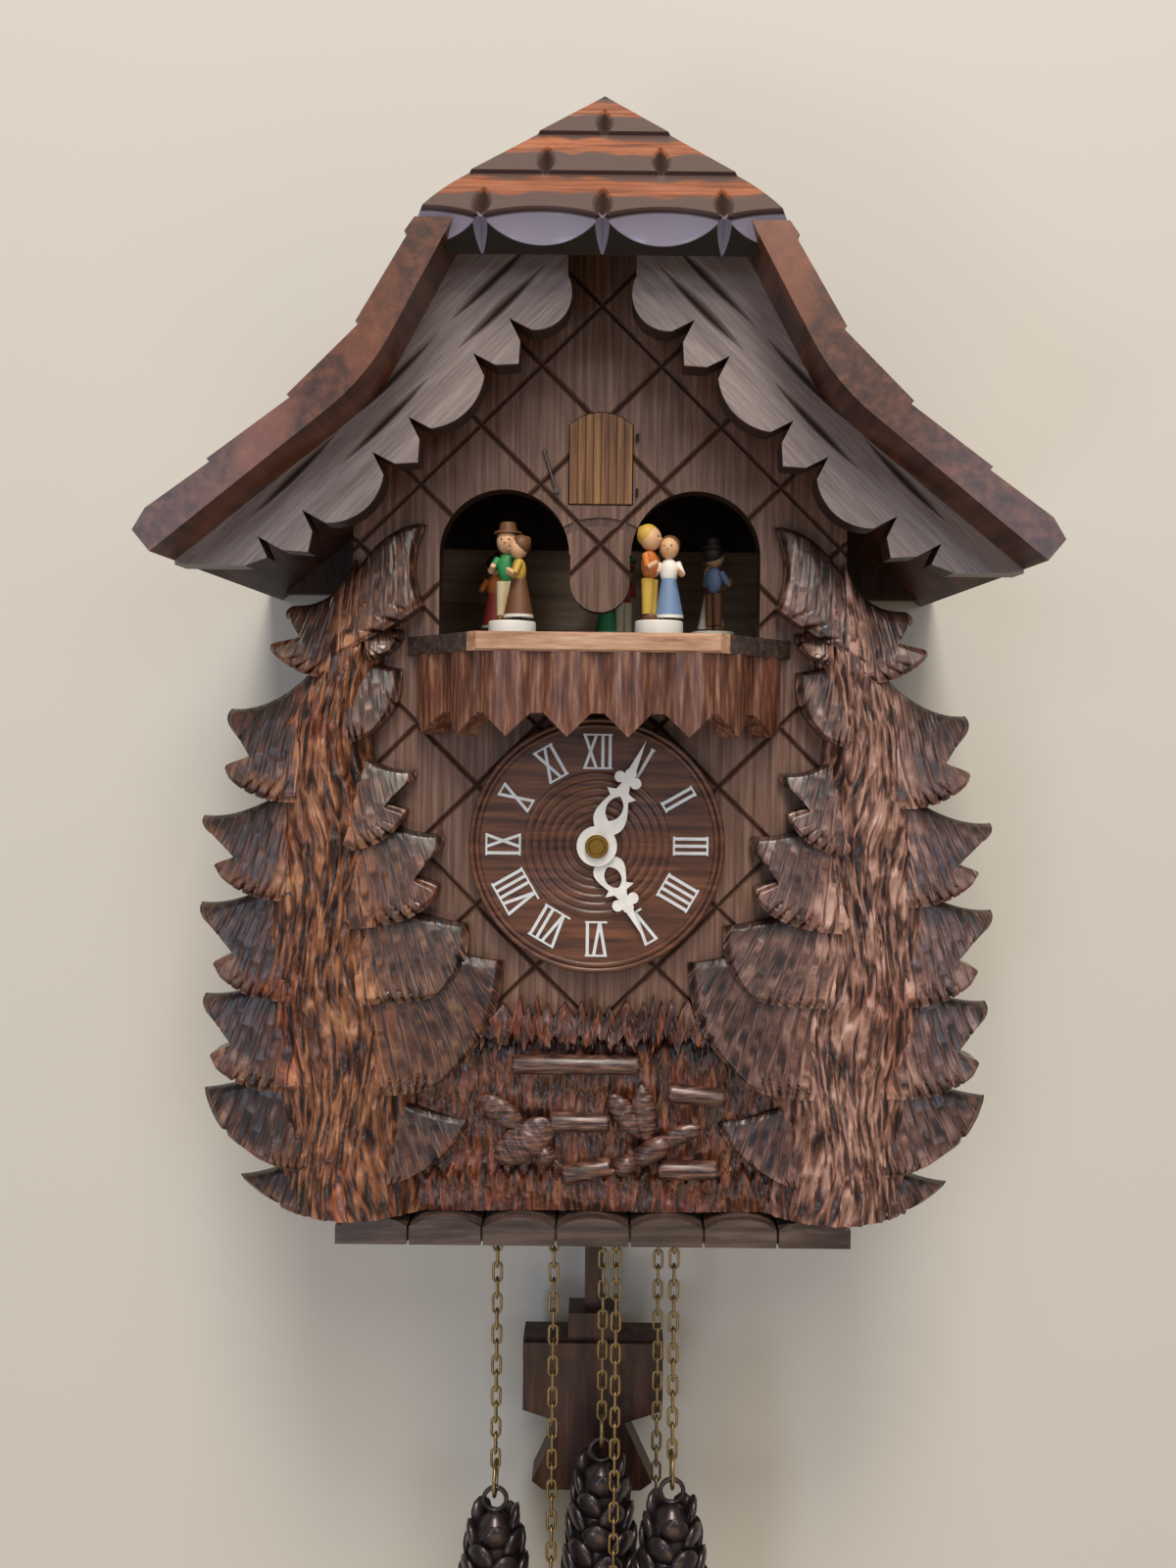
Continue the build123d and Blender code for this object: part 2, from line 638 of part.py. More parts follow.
going_drop = ((GOING_X - SPROCKET_R, GOING_DEPTH), (GOING_X + SPROCKET_R, GOING_DEPTH))
strike_drop = ((STRIKE_X - SPROCKET_R, STRIKE_DEPTH), (STRIKE_X + SPROCKET_R, STRIKE_DEPTH))
music_drop = ((MUSIC_X + SPROCKET_R, MUSIC_DEPTH), (MUSIC_X - SPROCKET_R, MUSIC_DEPTH))
with BuildPart() as bottom_board:
    with Locations(mid(0, BACK_T, PANEL_BACK, CASE_BOTTOM + FLOOR_T / 2)):
        Box(2 * INNER_HALF, PANEL_BACK - BACK_T, FLOOR_T)
    with Locations(at(0, (SWING_DEPTH + LEADER_DEPTH) / 2, CASE_BOTTOM + FLOOR_T / 2)):
        Box(2 * PENDULUM_SLOT, 4 * ROD_T, FLOOR_T, mode=Mode.SUBTRACT)
    with Locations(*[at(x, d, FLOOR_TOP) for x, d in (*going_drop, *strike_drop, *music_drop)]):
        Hole(LINK_WIDTH)
keep(bottom_board.part, "bottom_board")

# Balcony: sill with the turntable's pocket, pale lip along its front, picket valance below
bay_slope = (BAY_ROOT_HALF - BAY_HALF) / (BAY_FACE - PANEL_FACE)
lip_back = BAY_FACE - LIP_T
lip_back_half = BAY_HALF + bay_slope * LIP_T
with BuildPart() as balcony_sill:
    with BuildSketch(Plane.XY.offset(SILL_BOTTOM)):
        with BuildLine():
            Polyline((-BAY_ROOT_HALF, -PANEL_FACE), (-lip_back_half, -lip_back), (lip_back_half, -lip_back),
                     (BAY_ROOT_HALF, -PANEL_FACE), close=True)
        make_face()
    extrude(amount=SILL_T)
    with Locations((0, -TURN_DEPTH, SILL_TOP)):
        Cylinder(POCKET_R, 2 * (SILL_TOP - POCKET_FLOOR), mode=Mode.SUBTRACT)
keep(balcony_sill.part, "balcony_sill")

with BuildPart() as balcony_lip:
    with BuildSketch(Plane.XY.offset(SILL_BOTTOM)):
        with BuildLine():
            Polyline((-lip_back_half, -lip_back), (-BAY_HALF, -BAY_FACE), (BAY_HALF, -BAY_FACE),
                     (lip_back_half, -lip_back), close=True)
        make_face()
    extrude(amount=SILL_T)
    chamfer(balcony_lip.faces().sort_by(Axis.Y)[0].edges().filter_by(Axis.X), length=LIP_T / 6)
keep(balcony_lip.part, "balcony_lip")


def picket_row(middle, along, out, length, count):
    """Row of convex pickets with pointed ends, below the sill, its outer face through middle."""
    pitch = length / count
    half = pitch * PICKET_SHARE / 2
    depth = PICKET_T + PICKET_BULGE
    with BuildPart() as row:
        with BuildSketch(Plane(origin=middle, x_dir=along, z_dir=(0, 0, 1))):
            for k in range(count):
                x = (k - (count - 1) / 2) * pitch
                with BuildLine():
                    Polyline((x - half, PICKET_BULGE), (x - pitch / 2, PICKET_BULGE), (x - pitch / 2, depth),
                             (x + pitch / 2, depth), (x + pitch / 2, PICKET_BULGE), (x + half, PICKET_BULGE))
                    ThreePointArc((x - half, PICKET_BULGE), (x, 0), (x + half, PICKET_BULGE))
                make_face()
        extrude(amount=-PICKET_DROP)
        with BuildSketch(Plane(origin=middle, x_dir=along, z_dir=out)):
            for k in range(count):
                x = (k - (count - 1) / 2) * pitch
                with BuildLine():
                    Polyline((x - pitch / 2, 0), (x - pitch / 2, -PICKET_VALLEY), (x - half, -PICKET_VALLEY),
                             (x, -PICKET_DROP), (x + half, -PICKET_VALLEY), (x + pitch / 2, -PICKET_VALLEY),
                             (x + pitch / 2, 0), close=True)
                make_face()
        extrude(amount=depth, both=True, mode=Mode.INTERSECT)
    return row.part


bay_side = hypot(BAY_ROOT_HALF - BAY_HALF, BAY_FACE - PANEL_FACE)
side_along = Vector(BAY_ROOT_HALF - BAY_HALF, BAY_FACE - PANEL_FACE, 0) / bay_side
side_out = Vector(side_along.Y, -side_along.X, 0)
side_middle = Vector((BAY_ROOT_HALF + BAY_HALF) / 2, -(BAY_FACE + PANEL_FACE) / 2, SILL_BOTTOM)
with BuildPart() as picket_valance:
    add(picket_row(at(0, BAY_FACE, SILL_BOTTOM), (1, 0, 0), (0, -1, 0), 2 * BAY_HALF, FRONT_PICKETS))
    right_row = picket_row(side_middle, side_along, side_out, bay_side, SIDE_PICKETS)
    add(right_row)
    mirror(right_row, about=Plane.YZ)
    with Locations(mid(0, 0, PANEL_FACE, SILL_BOTTOM)):
        Box(2 * CASE_HALF, PANEL_FACE, 4 * PICKET_DROP, mode=Mode.SUBTRACT)
keep(picket_valance.part, "picket_valance")

# Dial: a turned disc with a beaded rim and rings round the arbor hole
dial_axis = Axis(at(0, 0, DIAL_Z), (0, -1, 0))
with BuildPart() as dial:
    with BuildSketch(Plane(origin=at(0, PANEL_FACE, DIAL_Z), x_dir=(1, 0, 0), z_dir=(0, 0, 1))):
        with BuildLine():
            rim_in = DIAL_R - 4 * RIM_BEAD
            rim_mid = DIAL_R - 2 * RIM_BEAD
            Polyline((rim_mid + 2 * RIM_BEAD, -DIAL_T), (DIAL_R, 0), (DIAL_HOLE, 0), (DIAL_HOLE, -DIAL_T),
                     (RING_FIRST, -DIAL_T))
            for k in range(RING_COUNT):
                start = RING_FIRST + k * RING_PITCH
                stop = start + RING_PITCH
                ThreePointArc((start, -DIAL_T), ((start + stop) / 2, -DIAL_T - RING_BEAD), (stop, -DIAL_T))
            Line((stop, -DIAL_T), (rim_in, -DIAL_T))
            ThreePointArc((rim_in, -DIAL_T), (rim_in + RIM_BEAD, -DIAL_T - RIM_BEAD), (rim_mid, -DIAL_T))
            ThreePointArc((rim_mid, -DIAL_T), (rim_mid + RIM_BEAD, -DIAL_T - RIM_BEAD), (DIAL_R, -DIAL_T))
        make_face()
    revolve(axis=dial_axis)
keep(dial.part, "dial")

# Numerals: Roman figures of slim strokes with serifs, tops outwards
STROKE_SETS = {1: "I", 2: "II", 3: "III", 4: "IIII", 5: "V", 6: "VI", 7: "VII", 8: "VIII", 9: "IX",
               10: "X", 11: "XI", 12: "XII"}
STROKE_SPAN = {"I": STROKE_GAP, "V": 2.4 * STROKE_GAP, "X": 2.4 * STROKE_GAP}


def numeral_strokes(figure):
    """Ends of each stroke of a figure, as pairs of x at its foot and at its top."""
    strokes = []
    left = -sum(STROKE_SPAN[letter] for letter in figure) / 2
    for letter in figure:
        span = STROKE_SPAN[letter]
        centre = left + span / 2
        lean = span * 0.34
        if letter == "I":
            strokes.append((centre, centre))
        elif letter == "V":
            strokes += [(centre, centre - lean), (centre, centre + lean)]
        else:
            strokes += [(centre - lean, centre + lean), (centre + lean, centre - lean)]
        left += span
    return strokes


with BuildPart() as dial_numerals:
    for hour, figure in STROKE_SETS.items():
        turn = radians(90 - 30 * hour)
        up = Vector(cos(turn), 0, sin(turn))
        spot = Vector(*at(0, DIAL_FACE, DIAL_Z)) + up * NUMERAL_R
        across = Vector(sin(turn), 0, -cos(turn))
        span = sum(STROKE_SPAN[letter] for letter in figure)
        with BuildSketch(Plane(origin=spot, x_dir=across, z_dir=(0, -1, 0))):
            for foot, top in numeral_strokes(figure):
                with BuildLine():
                    h = NUMERAL_H / 2
                    Polyline((foot - STROKE / 2, -h), (foot + STROKE / 2, -h), (top + STROKE / 2, h),
                             (top - STROKE / 2, h), close=True)
                make_face()
            with Locations((0, NUMERAL_H / 2), (0, -NUMERAL_H / 2)):
                Rectangle(span - STROKE_GAP / 3, STROKE * 0.6)
        extrude(amount=NUMERAL_T)
keep(dial_numerals.part, "dial_numerals")

# Hands: flat, pierced, with a round hub; drawn pointing at twelve and then turned
HOUR_NEAR = DIAL_FACE + RIM_BEAD + SLIP
MINUTE_NEAR = HOUR_NEAR + HAND_T + SLIP


def hand(tip, near, turn, bore):
    """Pierced hand of length tip at a depth, turned clockwise from twelve."""
    share = tip / MINUTE_TIP
    root = HUB_R - STROKE
    with BuildPart() as blade:
        plane = Plane(origin=at(0, near, DIAL_Z), x_dir=(cos(radians(turn)), 0, -sin(radians(turn))),
                      z_dir=(0, -1, 0))
        with BuildSketch(plane):
            with BuildLine():
                Line((0, root), (HUB_R / 2, root))
                Spline((HUB_R / 2, root), (LYRE_HALF, 10.0 * share), (LYRE_HALF * 0.85, 13.5 * share),
                       (LYRE_HALF * 0.4, 19.5 * share), (POINT_HALF, 26.0 * share))
                Polyline((POINT_HALF, 26.0 * share), (0, tip), (0, root))
            make_face()
            for sign in (-1, 1):
                Polygon((sign * SPUR * 0.5, 16.2 * share), (sign * SPUR, 18.4 * share),
                        (sign * SPUR * 0.3, 19.4 * share), align=None)
            mirror(about=Plane.YZ)
            with Locations((-1.5 * LEAF_R, 23.2 * share), (1.5 * LEAF_R, 23.2 * share), (0, 25.4 * share)):
                Circle(LEAF_R)
            with BuildLine():
                ThreePointArc((0, 8.8 * share), (EYE_HALF, 11.6 * share), (0, 17.4 * share))
                ThreePointArc((0, 8.8 * share), (-EYE_HALF, 11.6 * share), (0, 17.4 * share))
            make_face(mode=Mode.SUBTRACT)
            Circle(HUB_R)
            Circle(bore, mode=Mode.SUBTRACT)
        extrude(amount=HAND_T)
    return blade.part


hour_hand = hand(HOUR_TIP, HOUR_NEAR, HOUR_TURN, PIPE_R)
keep(hour_hand, "hour_hand")
minute_hand = hand(MINUTE_TIP, MINUTE_NEAR, MINUTE_TURN, CANNON_R)
keep(minute_hand, "minute_hand")

nut_near = MINUTE_NEAR + HAND_T
with BuildPart() as hand_nut:
    with BuildSketch(facing(nut_near)):
        with Locations((0, DIAL_Z)):
            Circle(CANNON_R + STROKE / 2)
            Circle(ARBOR_R, mode=Mode.SUBTRACT)
    extrude(amount=2 * HAND_T)
    chamfer(hand_nut.faces().sort_by(Axis.Y)[0].edges(), length=HAND_T / 3)
keep(hand_nut.part, "hand_nut")

# Motion work: the cannon pinion drives the minute wheel, whose pinion drives the hour wheel
cannon_near = FRONT_PLATE_FACE + SEAT
hour_near = cannon_near + WHEEL_T + WHEEL_GAP
with BuildPart() as centre_arbor:
    with Locations(mid(0, BACK_PLATE, nut_near + 2 * HAND_T, DIAL_Z)):
        Cylinder(ARBOR_R, nut_near + 2 * HAND_T - BACK_PLATE, rotation=(90, 0, 0))
    with Locations(mid(0, cannon_near, nut_near, DIAL_Z)):
        Cylinder(CANNON_R, nut_near - cannon_near, rotation=(90, 0, 0))
    with BuildSketch(facing(cannon_near)):
        with Locations((0, DIAL_Z)):
            add(gear_outline(CANNON_TEETH, MINUTE_MODULE, tooth_at=-90))
    extrude(amount=WHEEL_T)
keep(centre_arbor.part, "centre_arbor")

with BuildPart() as minute_wheel:
    with BuildSketch(facing(cannon_near)):
        with Locations((0, MINUTE_Z)):
            add(gear_outline(MINUTE_TEETH, MINUTE_MODULE, gap_at=90))
    extrude(amount=WHEEL_T)
    with BuildSketch(facing(cannon_near + WHEEL_T)):
        with Locations((0, MINUTE_Z)):
            add(gear_outline(PINION_TEETH, HOUR_MODULE, tooth_at=90))
    extrude(amount=WHEEL_GAP + WHEEL_T)
    with Locations(mid(0, cannon_near, hour_near + WHEEL_T, MINUTE_Z)):
        Cylinder(SPINDLE_R + RUNNING_FIT, 2 * (hour_near + WHEEL_T - cannon_near), rotation=(90, 0, 0),
                 mode=Mode.SUBTRACT)
keep(minute_wheel.part, "minute_wheel")

with BuildPart() as hour_wheel:
    with BuildSketch(facing(hour_near)):
        with Locations((0, DIAL_Z)):
            add(gear_outline(HOUR_TEETH, HOUR_MODULE, gap_at=-90))
    extrude(amount=WHEEL_T)
    with Locations(mid(0, hour_near, HOUR_NEAR + HAND_T, DIAL_Z)):
        Cylinder(PIPE_R, HOUR_NEAR + HAND_T - hour_near, rotation=(90, 0, 0))
        Cylinder(CANNON_R + RUNNING_FIT, HOUR_NEAR + HAND_T, rotation=(90, 0, 0), mode=Mode.SUBTRACT)
keep(hour_wheel.part, "hour_wheel")

# Movement frame: two plates, four pillars, the minute wheel's stud and the train's bearing holes
pillars = [(x, z) for x in (3 * PILLAR_R - PLATE_HALF, PLATE_HALF - 2 * PILLAR_R)
           for z in (PLATE_TOP - 2 * PILLAR_R, PLATE_BOTTOM + 2 * PILLAR_R)]
plate_middle = (PLATE_TOP + PLATE_BOTTOM) / 2
with BuildPart() as movement_frame:
    for near in (BACK_PLATE, FRONT_PLATE):
        with BuildSketch(facing(near)):
            with Locations((0, plate_middle)):
                Rectangle(2 * PLATE_HALF, PLATE_TOP - PLATE_BOTTOM)
            with Locations((0, DIAL_Z)):
                Circle(ARBOR_R + RUNNING_FIT, mode=Mode.SUBTRACT)
            with Locations((0, PALLET_Z), (0, ESCAPE_Z), (GOING_X, TRAIN_Z), (STRIKE_X, TRAIN_Z)):
                Circle(SPINDLE_R + RUNNING_FIT, mode=Mode.SUBTRACT)
        extrude(amount=PLATE_T)
    with Locations(*[mid(x, BACK_PLATE, FRONT_PLATE, z) for x, z in pillars]):
        Cylinder(PILLAR_R, FRONT_PLATE - BACK_PLATE, rotation=(90, 0, 0))
    with Locations(*[mid(x, BACK_T, BACK_PLATE, PLATE_TOP - 2 * PILLAR_R) for x, z in pillars[::2]]):
        Cylinder(PILLAR_R, BACK_PLATE - BACK_T, rotation=(90, 0, 0))
    with Locations(mid(0, FRONT_PLATE, hour_near + WHEEL_T, MINUTE_Z)):
        Cylinder(SPINDLE_R, hour_near + WHEEL_T - FRONT_PLATE, rotation=(90, 0, 0))
keep(movement_frame.part, "movement_frame")

# Escape wheel and anchor
escape_near = BACK_PLATE + PLATE_T + 3 * WHEEL_GAP
with BuildPart() as escape_wheel:
    with BuildSketch(facing(escape_near)):
        with Locations((0, ESCAPE_Z)):
            add(gear_outline(ESCAPE_TEETH, 2 * ESCAPE_R / (ESCAPE_TEETH + 2), tooth_at=90))
    extrude(amount=PLATE_T)
    with Locations(mid(0, BACK_PLATE, FRONT_PLATE_FACE, ESCAPE_Z)):
        Cylinder(SPINDLE_R, FRONT_PLATE_FACE - BACK_PLATE, rotation=(90, 0, 0))
keep(escape_wheel.part, "escape_wheel")

pallet_drop = PALLET_Z - ESCAPE_Z
with BuildPart() as verge_anchor:
    with Locations(mid(0, SWING_DEPTH - LEADER_R, FRONT_PLATE_FACE, PALLET_Z)):
        Cylinder(SPINDLE_R, FRONT_PLATE_FACE - SWING_DEPTH + LEADER_R, rotation=(90, 0, 0))
    with BuildSketch(facing(escape_near)):
        with BuildLine():
            low = PALLET_Z - pallet_drop * 0.4
            Polyline((-PALLET_REACH - SPINDLE_R, low), (-PALLET_REACH - SPINDLE_R, PALLET_Z),
                     (0, PALLET_Z + SPINDLE_R), (PALLET_REACH + SPINDLE_R, PALLET_Z),
                     (PALLET_REACH + SPINDLE_R, low), (PALLET_REACH, low),
                     (PALLET_REACH - SPINDLE_R, PALLET_Z - SPINDLE_R),
                     (SPINDLE_R - PALLET_REACH, PALLET_Z - SPINDLE_R), (-PALLET_REACH, low), close=True)
        make_face()
    extrude(amount=PLATE_T)
keep(verge_anchor.part, "verge_anchor")

# Pendulum: leader wire on the anchor's arbor, wooden rod hooked on it, carved bob
with BuildPart() as pendulum_leader:
    with Locations(at(0, LEADER_DEPTH, (PALLET_Z + HOOK_Z) / 2 - SPINDLE_R)):
        Cylinder(LEADER_R, PALLET_Z - HOOK_Z)
    with Locations(at(0, LEADER_DEPTH, PALLET_Z)):
        Cylinder(SPINDLE_R + 2 * LEADER_R, 2 * LEADER_R, rotation=(90, 0, 0))
        Cylinder(SPINDLE_R, 4 * LEADER_R, rotation=(90, 0, 0), mode=Mode.SUBTRACT)
    with Locations(mid(0, SWING_DEPTH - ROD_T / 2 - LEADER_R, LEADER_DEPTH, HOOK_Z)):
        Cylinder(LEADER_R, LEADER_DEPTH - SWING_DEPTH + ROD_T / 2 + LEADER_R, rotation=(90, 0, 0))
keep(pendulum_leader.part, "pendulum_leader")

rod_top = HOOK_Z + ROD_W
with BuildPart() as pendulum_rod:
    with Locations(at(0, SWING_DEPTH, (rod_top + BOB_BOTTOM) / 2)):
        Box(ROD_W, ROD_T, rod_top - BOB_BOTTOM)
    with Locations(at(0, SWING_DEPTH, HOOK_Z)):
        Cylinder(LEADER_R + RUNNING_FIT, 2 * ROD_T, rotation=(90, 0, 0), mode=Mode.SUBTRACT)
keep(pendulum_rod.part, "pendulum_rod")

bob_h = BOB_TOP - BOB_BOTTOM
with BuildPart() as pendulum_bob:
    with BuildSketch(facing(SWING_DEPTH - BOB_T / 2)):
        with BuildLine():
            half = BOB_W / 2
            shoulder = BOB_TOP - bob_h * 0.14
            block = BOB_TOP - bob_h * 0.55
            waist = BOB_TOP - bob_h * 0.62
            Polyline((half * 0.36, BOB_TOP), (half * 0.36, shoulder), (half, shoulder), (half, block),
                     (half * 0.46, waist), (half * 0.86, BOB_BOTTOM + half * 0.12), (half * 0.7, BOB_BOTTOM),
                     (0, BOB_BOTTOM))
            Polyline((0, BOB_BOTTOM), (0, BOB_TOP), (half * 0.36, BOB_TOP))
        make_face()
        mirror(about=Plane.YZ)
    extrude(amount=BOB_T)
    with Locations(at(0, SWING_DEPTH + BOB_T / 2, BOB_TOP - bob_h * 0.2)):
        Box(BOB_W, ROD_T, bob_h * 0.09)
    with Locations(at(0, SWING_DEPTH, (BOB_TOP + BOB_BOTTOM) / 2)):
        Box(ROD_W, ROD_T, 2 * bob_h, mode=Mode.SUBTRACT)
keep(pendulum_bob.part, "pendulum_bob")

# Chains: links hang from the sprockets, every second one turned square to its neighbours
link_half = (LINK_WIDTH - CHAIN_WIRE) / 2
link_straight = (LINK_PITCH + LINK_PLAY + CHAIN_WIRE) / 2 - link_half
with BuildPart() as link:
    with BuildLine(Plane.XZ) as link_path:
        Line((link_half, 0), (link_half, link_straight))
        ThreePointArc((link_half, link_straight), (0, link_straight + link_half), (-link_half, link_straight))
        Line((-link_half, link_straight), (-link_half, -link_straight))
        ThreePointArc((-link_half, -link_straight), (0, -link_straight - link_half),
                      (link_half, -link_straight))
        Line((link_half, -link_straight), (link_half, 0))
    with BuildSketch(Plane(origin=(link_half, 0, 0), z_dir=(0, 0, 1))):
        Circle(CHAIN_WIRE / 2)
    sweep()


def strand(x, depth, top, bottom, name):
    """Straight run of separate links with a ring at its foot; the links stay loose, so nothing joins them."""
    count = 2 * round((top - bottom) / (2 * LINK_PITCH)) + 1
    links = []
    for k in range(count):
        place = Location(at(x, depth, top - k * LINK_PITCH), (0, 0, 90 * (k % 2)))
        links.append(link.part.moved(place).solid())
    last = top - (count - 1) * LINK_PITCH
    ring_z = last - link_straight - link_half + CHAIN_WIRE + LINK_PLAY - RING_R + RING_WIRE / 2
    with BuildPart() as ring:
        with Locations(Location(at(x, depth, ring_z), (0, 90, 0))):
            Torus(RING_R, RING_WIRE / 2)
    keep(Compound([*links, ring.part.solid()]), name)
    return ring_z


def weight(x, depth, ring_z, name):
    """Cone weight of cast iron in rows of scales, hung by its loop from a strand's ring."""
    loop_z = ring_z - RING_R + RING_WIRE / 2 - LOOP_R + LOOP_WIRE / 2 + SEAT * 2
    top = loop_z - LOOP_R
    with BuildPart() as cone:
        with BuildSketch(Plane(origin=at(x, depth, top), x_dir=(1, 0, 0), z_dir=(0, -1, 0))):
            with BuildLine():
                rows = [(CONE_R * sin(pi * (0.12 + 0.84 * k / CONE_ROWS)) ** 0.6, -CONE_H * k / CONE_ROWS)
                        for k in range(CONE_ROWS + 1)]
                Line((0, 0), rows[0])
                for (r0, z0), (r1, z1) in zip(rows, rows[1:]):
                    Polyline((r0, z0), (max(r0, r1), (z0 + 3 * z1) / 4), (r1 * 0.86, z1), (r1, z1))
                Line(rows[-1], (0, -CONE_H))
                Line((0, -CONE_H), (0, 0))
            make_face()
        revolve(axis=Axis(at(x, depth, 0), (0, 0, 1)))
        with Locations(Location(at(x, depth, loop_z), (90, 0, 0))):
            Torus(LOOP_R, LOOP_WIRE / 2)
    keep(cone.part, name)


for name, drop, top, ring_z in (("going", going_drop, TRAIN_Z, GOING_RING_Z),
                                ("strike", strike_drop, TRAIN_Z, STRIKE_RING_Z),
                                ("music", music_drop, MUSIC_Z, MUSIC_RING_Z)):
    hung = strand(*drop[0], top, ring_z + RING_R, f"{name}_chain_loaded")
    strand(*drop[1], top, FREE_END_Z, f"{name}_chain_free")
    weight(*drop[0], hung, f"{name}_weight")

# Sprockets on their arbors
for name, x, z, depth, near, far in (
        ("going", GOING_X, TRAIN_Z, GOING_DEPTH, BACK_PLATE, FRONT_PLATE_FACE),
        ("strike", STRIKE_X, TRAIN_Z, STRIKE_DEPTH, BACK_PLATE, FRONT_PLATE_FACE),
        ("music", MUSIC_X, MUSIC_Z, MUSIC_DEPTH, MUSIC_DEPTH - 4 * SPROCKET_T, MUSIC_DEPTH + 4 * SPROCKET_T)):
    body_r = SPROCKET_R - LINK_WIDTH / 2 - SEAT
    with BuildPart() as sprocket:
        with Locations(mid(x, near, far, z)):
            Cylinder(SPINDLE_R, far - near, rotation=(90, 0, 0))
        with Locations(at(x, depth, z)):
            Cylinder(body_r, SPROCKET_T, rotation=(90, 0, 0))
        with Locations(at(x, depth - SPROCKET_T, z), at(x, depth + SPROCKET_T, z)):
            Cylinder(body_r - CHAIN_WIRE, SPROCKET_T, rotation=(90, 0, 0))
    keep(sprocket.part, f"{name}_sprocket")

# Cuckoo's door on its wire hinges, with flutes down its face
with BuildPart() as bird_door:
    with BuildSketch(facing(PANEL_FACE + DOOR_PROUD - DOOR_T)):
        with BuildLine():
            spring = DOOR_TOP - DOOR_RISE
            Polyline((-DOOR_HALF, spring), (-DOOR_HALF, DOOR_BOTTOM), (DOOR_HALF, DOOR_BOTTOM),
                     (DOOR_HALF, spring))
            ThreePointArc((-DOOR_HALF, spring), (0, DOOR_TOP), (DOOR_HALF, spring))
        make_face()
    extrude(amount=DOOR_T)
    flute = 2 * DOOR_HALF / DOOR_FLUTES
    with Locations(*[at((k - DOOR_FLUTES / 2) * flute, PANEL_FACE + DOOR_PROUD, (DOOR_TOP + DOOR_BOTTOM) / 2)
                     for k in range(1, DOOR_FLUTES)]):
        Box(WIRE_R, 2 * WIRE_R, 2 * (DOOR_TOP - DOOR_BOTTOM), mode=Mode.SUBTRACT)
keep(bird_door.part, "bird_door")

hinge_places = [DOOR_BOTTOM + (DOOR_TOP - DOOR_BOTTOM) * share for share in (0.12, 0.72)]
with BuildPart() as hinge_wires:
    for z in hinge_places:
        with Locations(mid(HINGE_X + 2 * WIRE_R, PANEL_FACE - PANEL_T / 2, HINGE_DEPTH, z)):
            Cylinder(WIRE_R, HINGE_DEPTH - PANEL_FACE + PANEL_T / 2, rotation=(90, 0, 0))
        with Locations(at(HINGE_X + 2 * WIRE_R, HINGE_DEPTH, z)):
            Cylinder(WIRE_R, 6 * WIRE_R)
keep(hinge_wires.part, "hinge_wires")

with BuildPart() as hinge_holes:
    with Locations(*[mid(HINGE_X + 2 * WIRE_R, PANEL_FACE - PANEL_T / 2, HINGE_DEPTH, z)
                     for z in hinge_places]):
        Cylinder(WIRE_R, HINGE_DEPTH - PANEL_FACE + PANEL_T / 2, rotation=(90, 0, 0))
with BuildPart() as front_panel_bored:
    add(front_panel.part)
    add(hinge_holes.part, mode=Mode.SUBTRACT)
keep(front_panel_bored.part, "front_panel")

latch_depth = PANEL_FACE + 2 * WIRE_R + SEAT
with BuildPart() as door_latch:
    lean = radians(90 + LATCH_LEAN)
    tip = Vector(*at(LATCH_X + LATCH_L * cos(lean), latch_depth, LATCH_Z + LATCH_L * sin(lean)))
    with BuildSketch(Plane(origin=at(LATCH_X, latch_depth, LATCH_Z), z_dir=(cos(lean), 0, sin(lean)))):
        Circle(WIRE_R)
    extrude(amount=LATCH_L)
    with Locations(mid(LATCH_X, PANEL_FACE + SEAT, latch_depth + WIRE_R, LATCH_Z)):
        Cylinder(2 * WIRE_R, latch_depth + WIRE_R - PANEL_FACE - SEAT, rotation=(90, 0, 0))
keep(door_latch.part, "door_latch")

# Cuckoo on its arm, which slides in a guide on the back board
arm_z = DOOR_BOTTOM + 2 * SLIP + ARM_T / 2
bird_z = arm_z + ARM_T / 2 + BIRD_R
bird_back = BEAK_DEPTH - BIRD_LENGTH
with BuildPart() as cuckoo_bird:
    with BuildSketch(Plane(origin=at(0, 0, bird_z), x_dir=(0, -1, 0), z_dir=(1, 0, 0))):
        with BuildLine():
            body_end = BEAK_DEPTH - BIRD_LENGTH * 0.36
            ThreePointArc((bird_back, 0), ((bird_back + body_end) / 2, BIRD_R * 0.95), (body_end, 0))
            Line((bird_back, 0), (body_end, 0))
        make_face()
    revolve(axis=Axis(at(0, 0, bird_z), (0, -1, 0)))
    head = at(0, BEAK_DEPTH - BIRD_LENGTH * 0.36, bird_z + BIRD_R * 0.8)
    with Locations(head):
        Sphere(BIRD_R * 0.85)
    with Locations(Location(at(0, BEAK_DEPTH - BIRD_LENGTH * 0.14, bird_z + BIRD_R * 0.8), (90, 0, 0))):
        Cone(BIRD_R * 0.4, BIRD_R * 0.08, BIRD_LENGTH * 0.28)
    with Locations(at(0, bird_back, bird_z)):
        Box(BIRD_R * 1.4, BIRD_LENGTH * 0.4, BIRD_R * 0.35)
    with Locations(at(0, 0, arm_z)):
        Box(2 * CASE_HALF, 4 * CASE_HALF, ARM_T, mode=Mode.SUBTRACT)
keep(cuckoo_bird.part, "cuckoo_bird")

arm_front = BEAK_DEPTH - BIRD_LENGTH * 0.3
with BuildPart() as bird_arm:
    with Locations(mid(0, arm_front - ARM_REACH, arm_front, arm_z)):
        Box(ARM_W, ARM_REACH, ARM_T)
    with Locations(mid(0, bird_back + BIRD_R, body_end - BIRD_R, arm_z + ARM_T)):
        Box(ARM_W / 3, BIRD_R, ARM_T)
    add(cuckoo_bird.part, mode=Mode.SUBTRACT)
keep(bird_arm.part, "bird_arm")

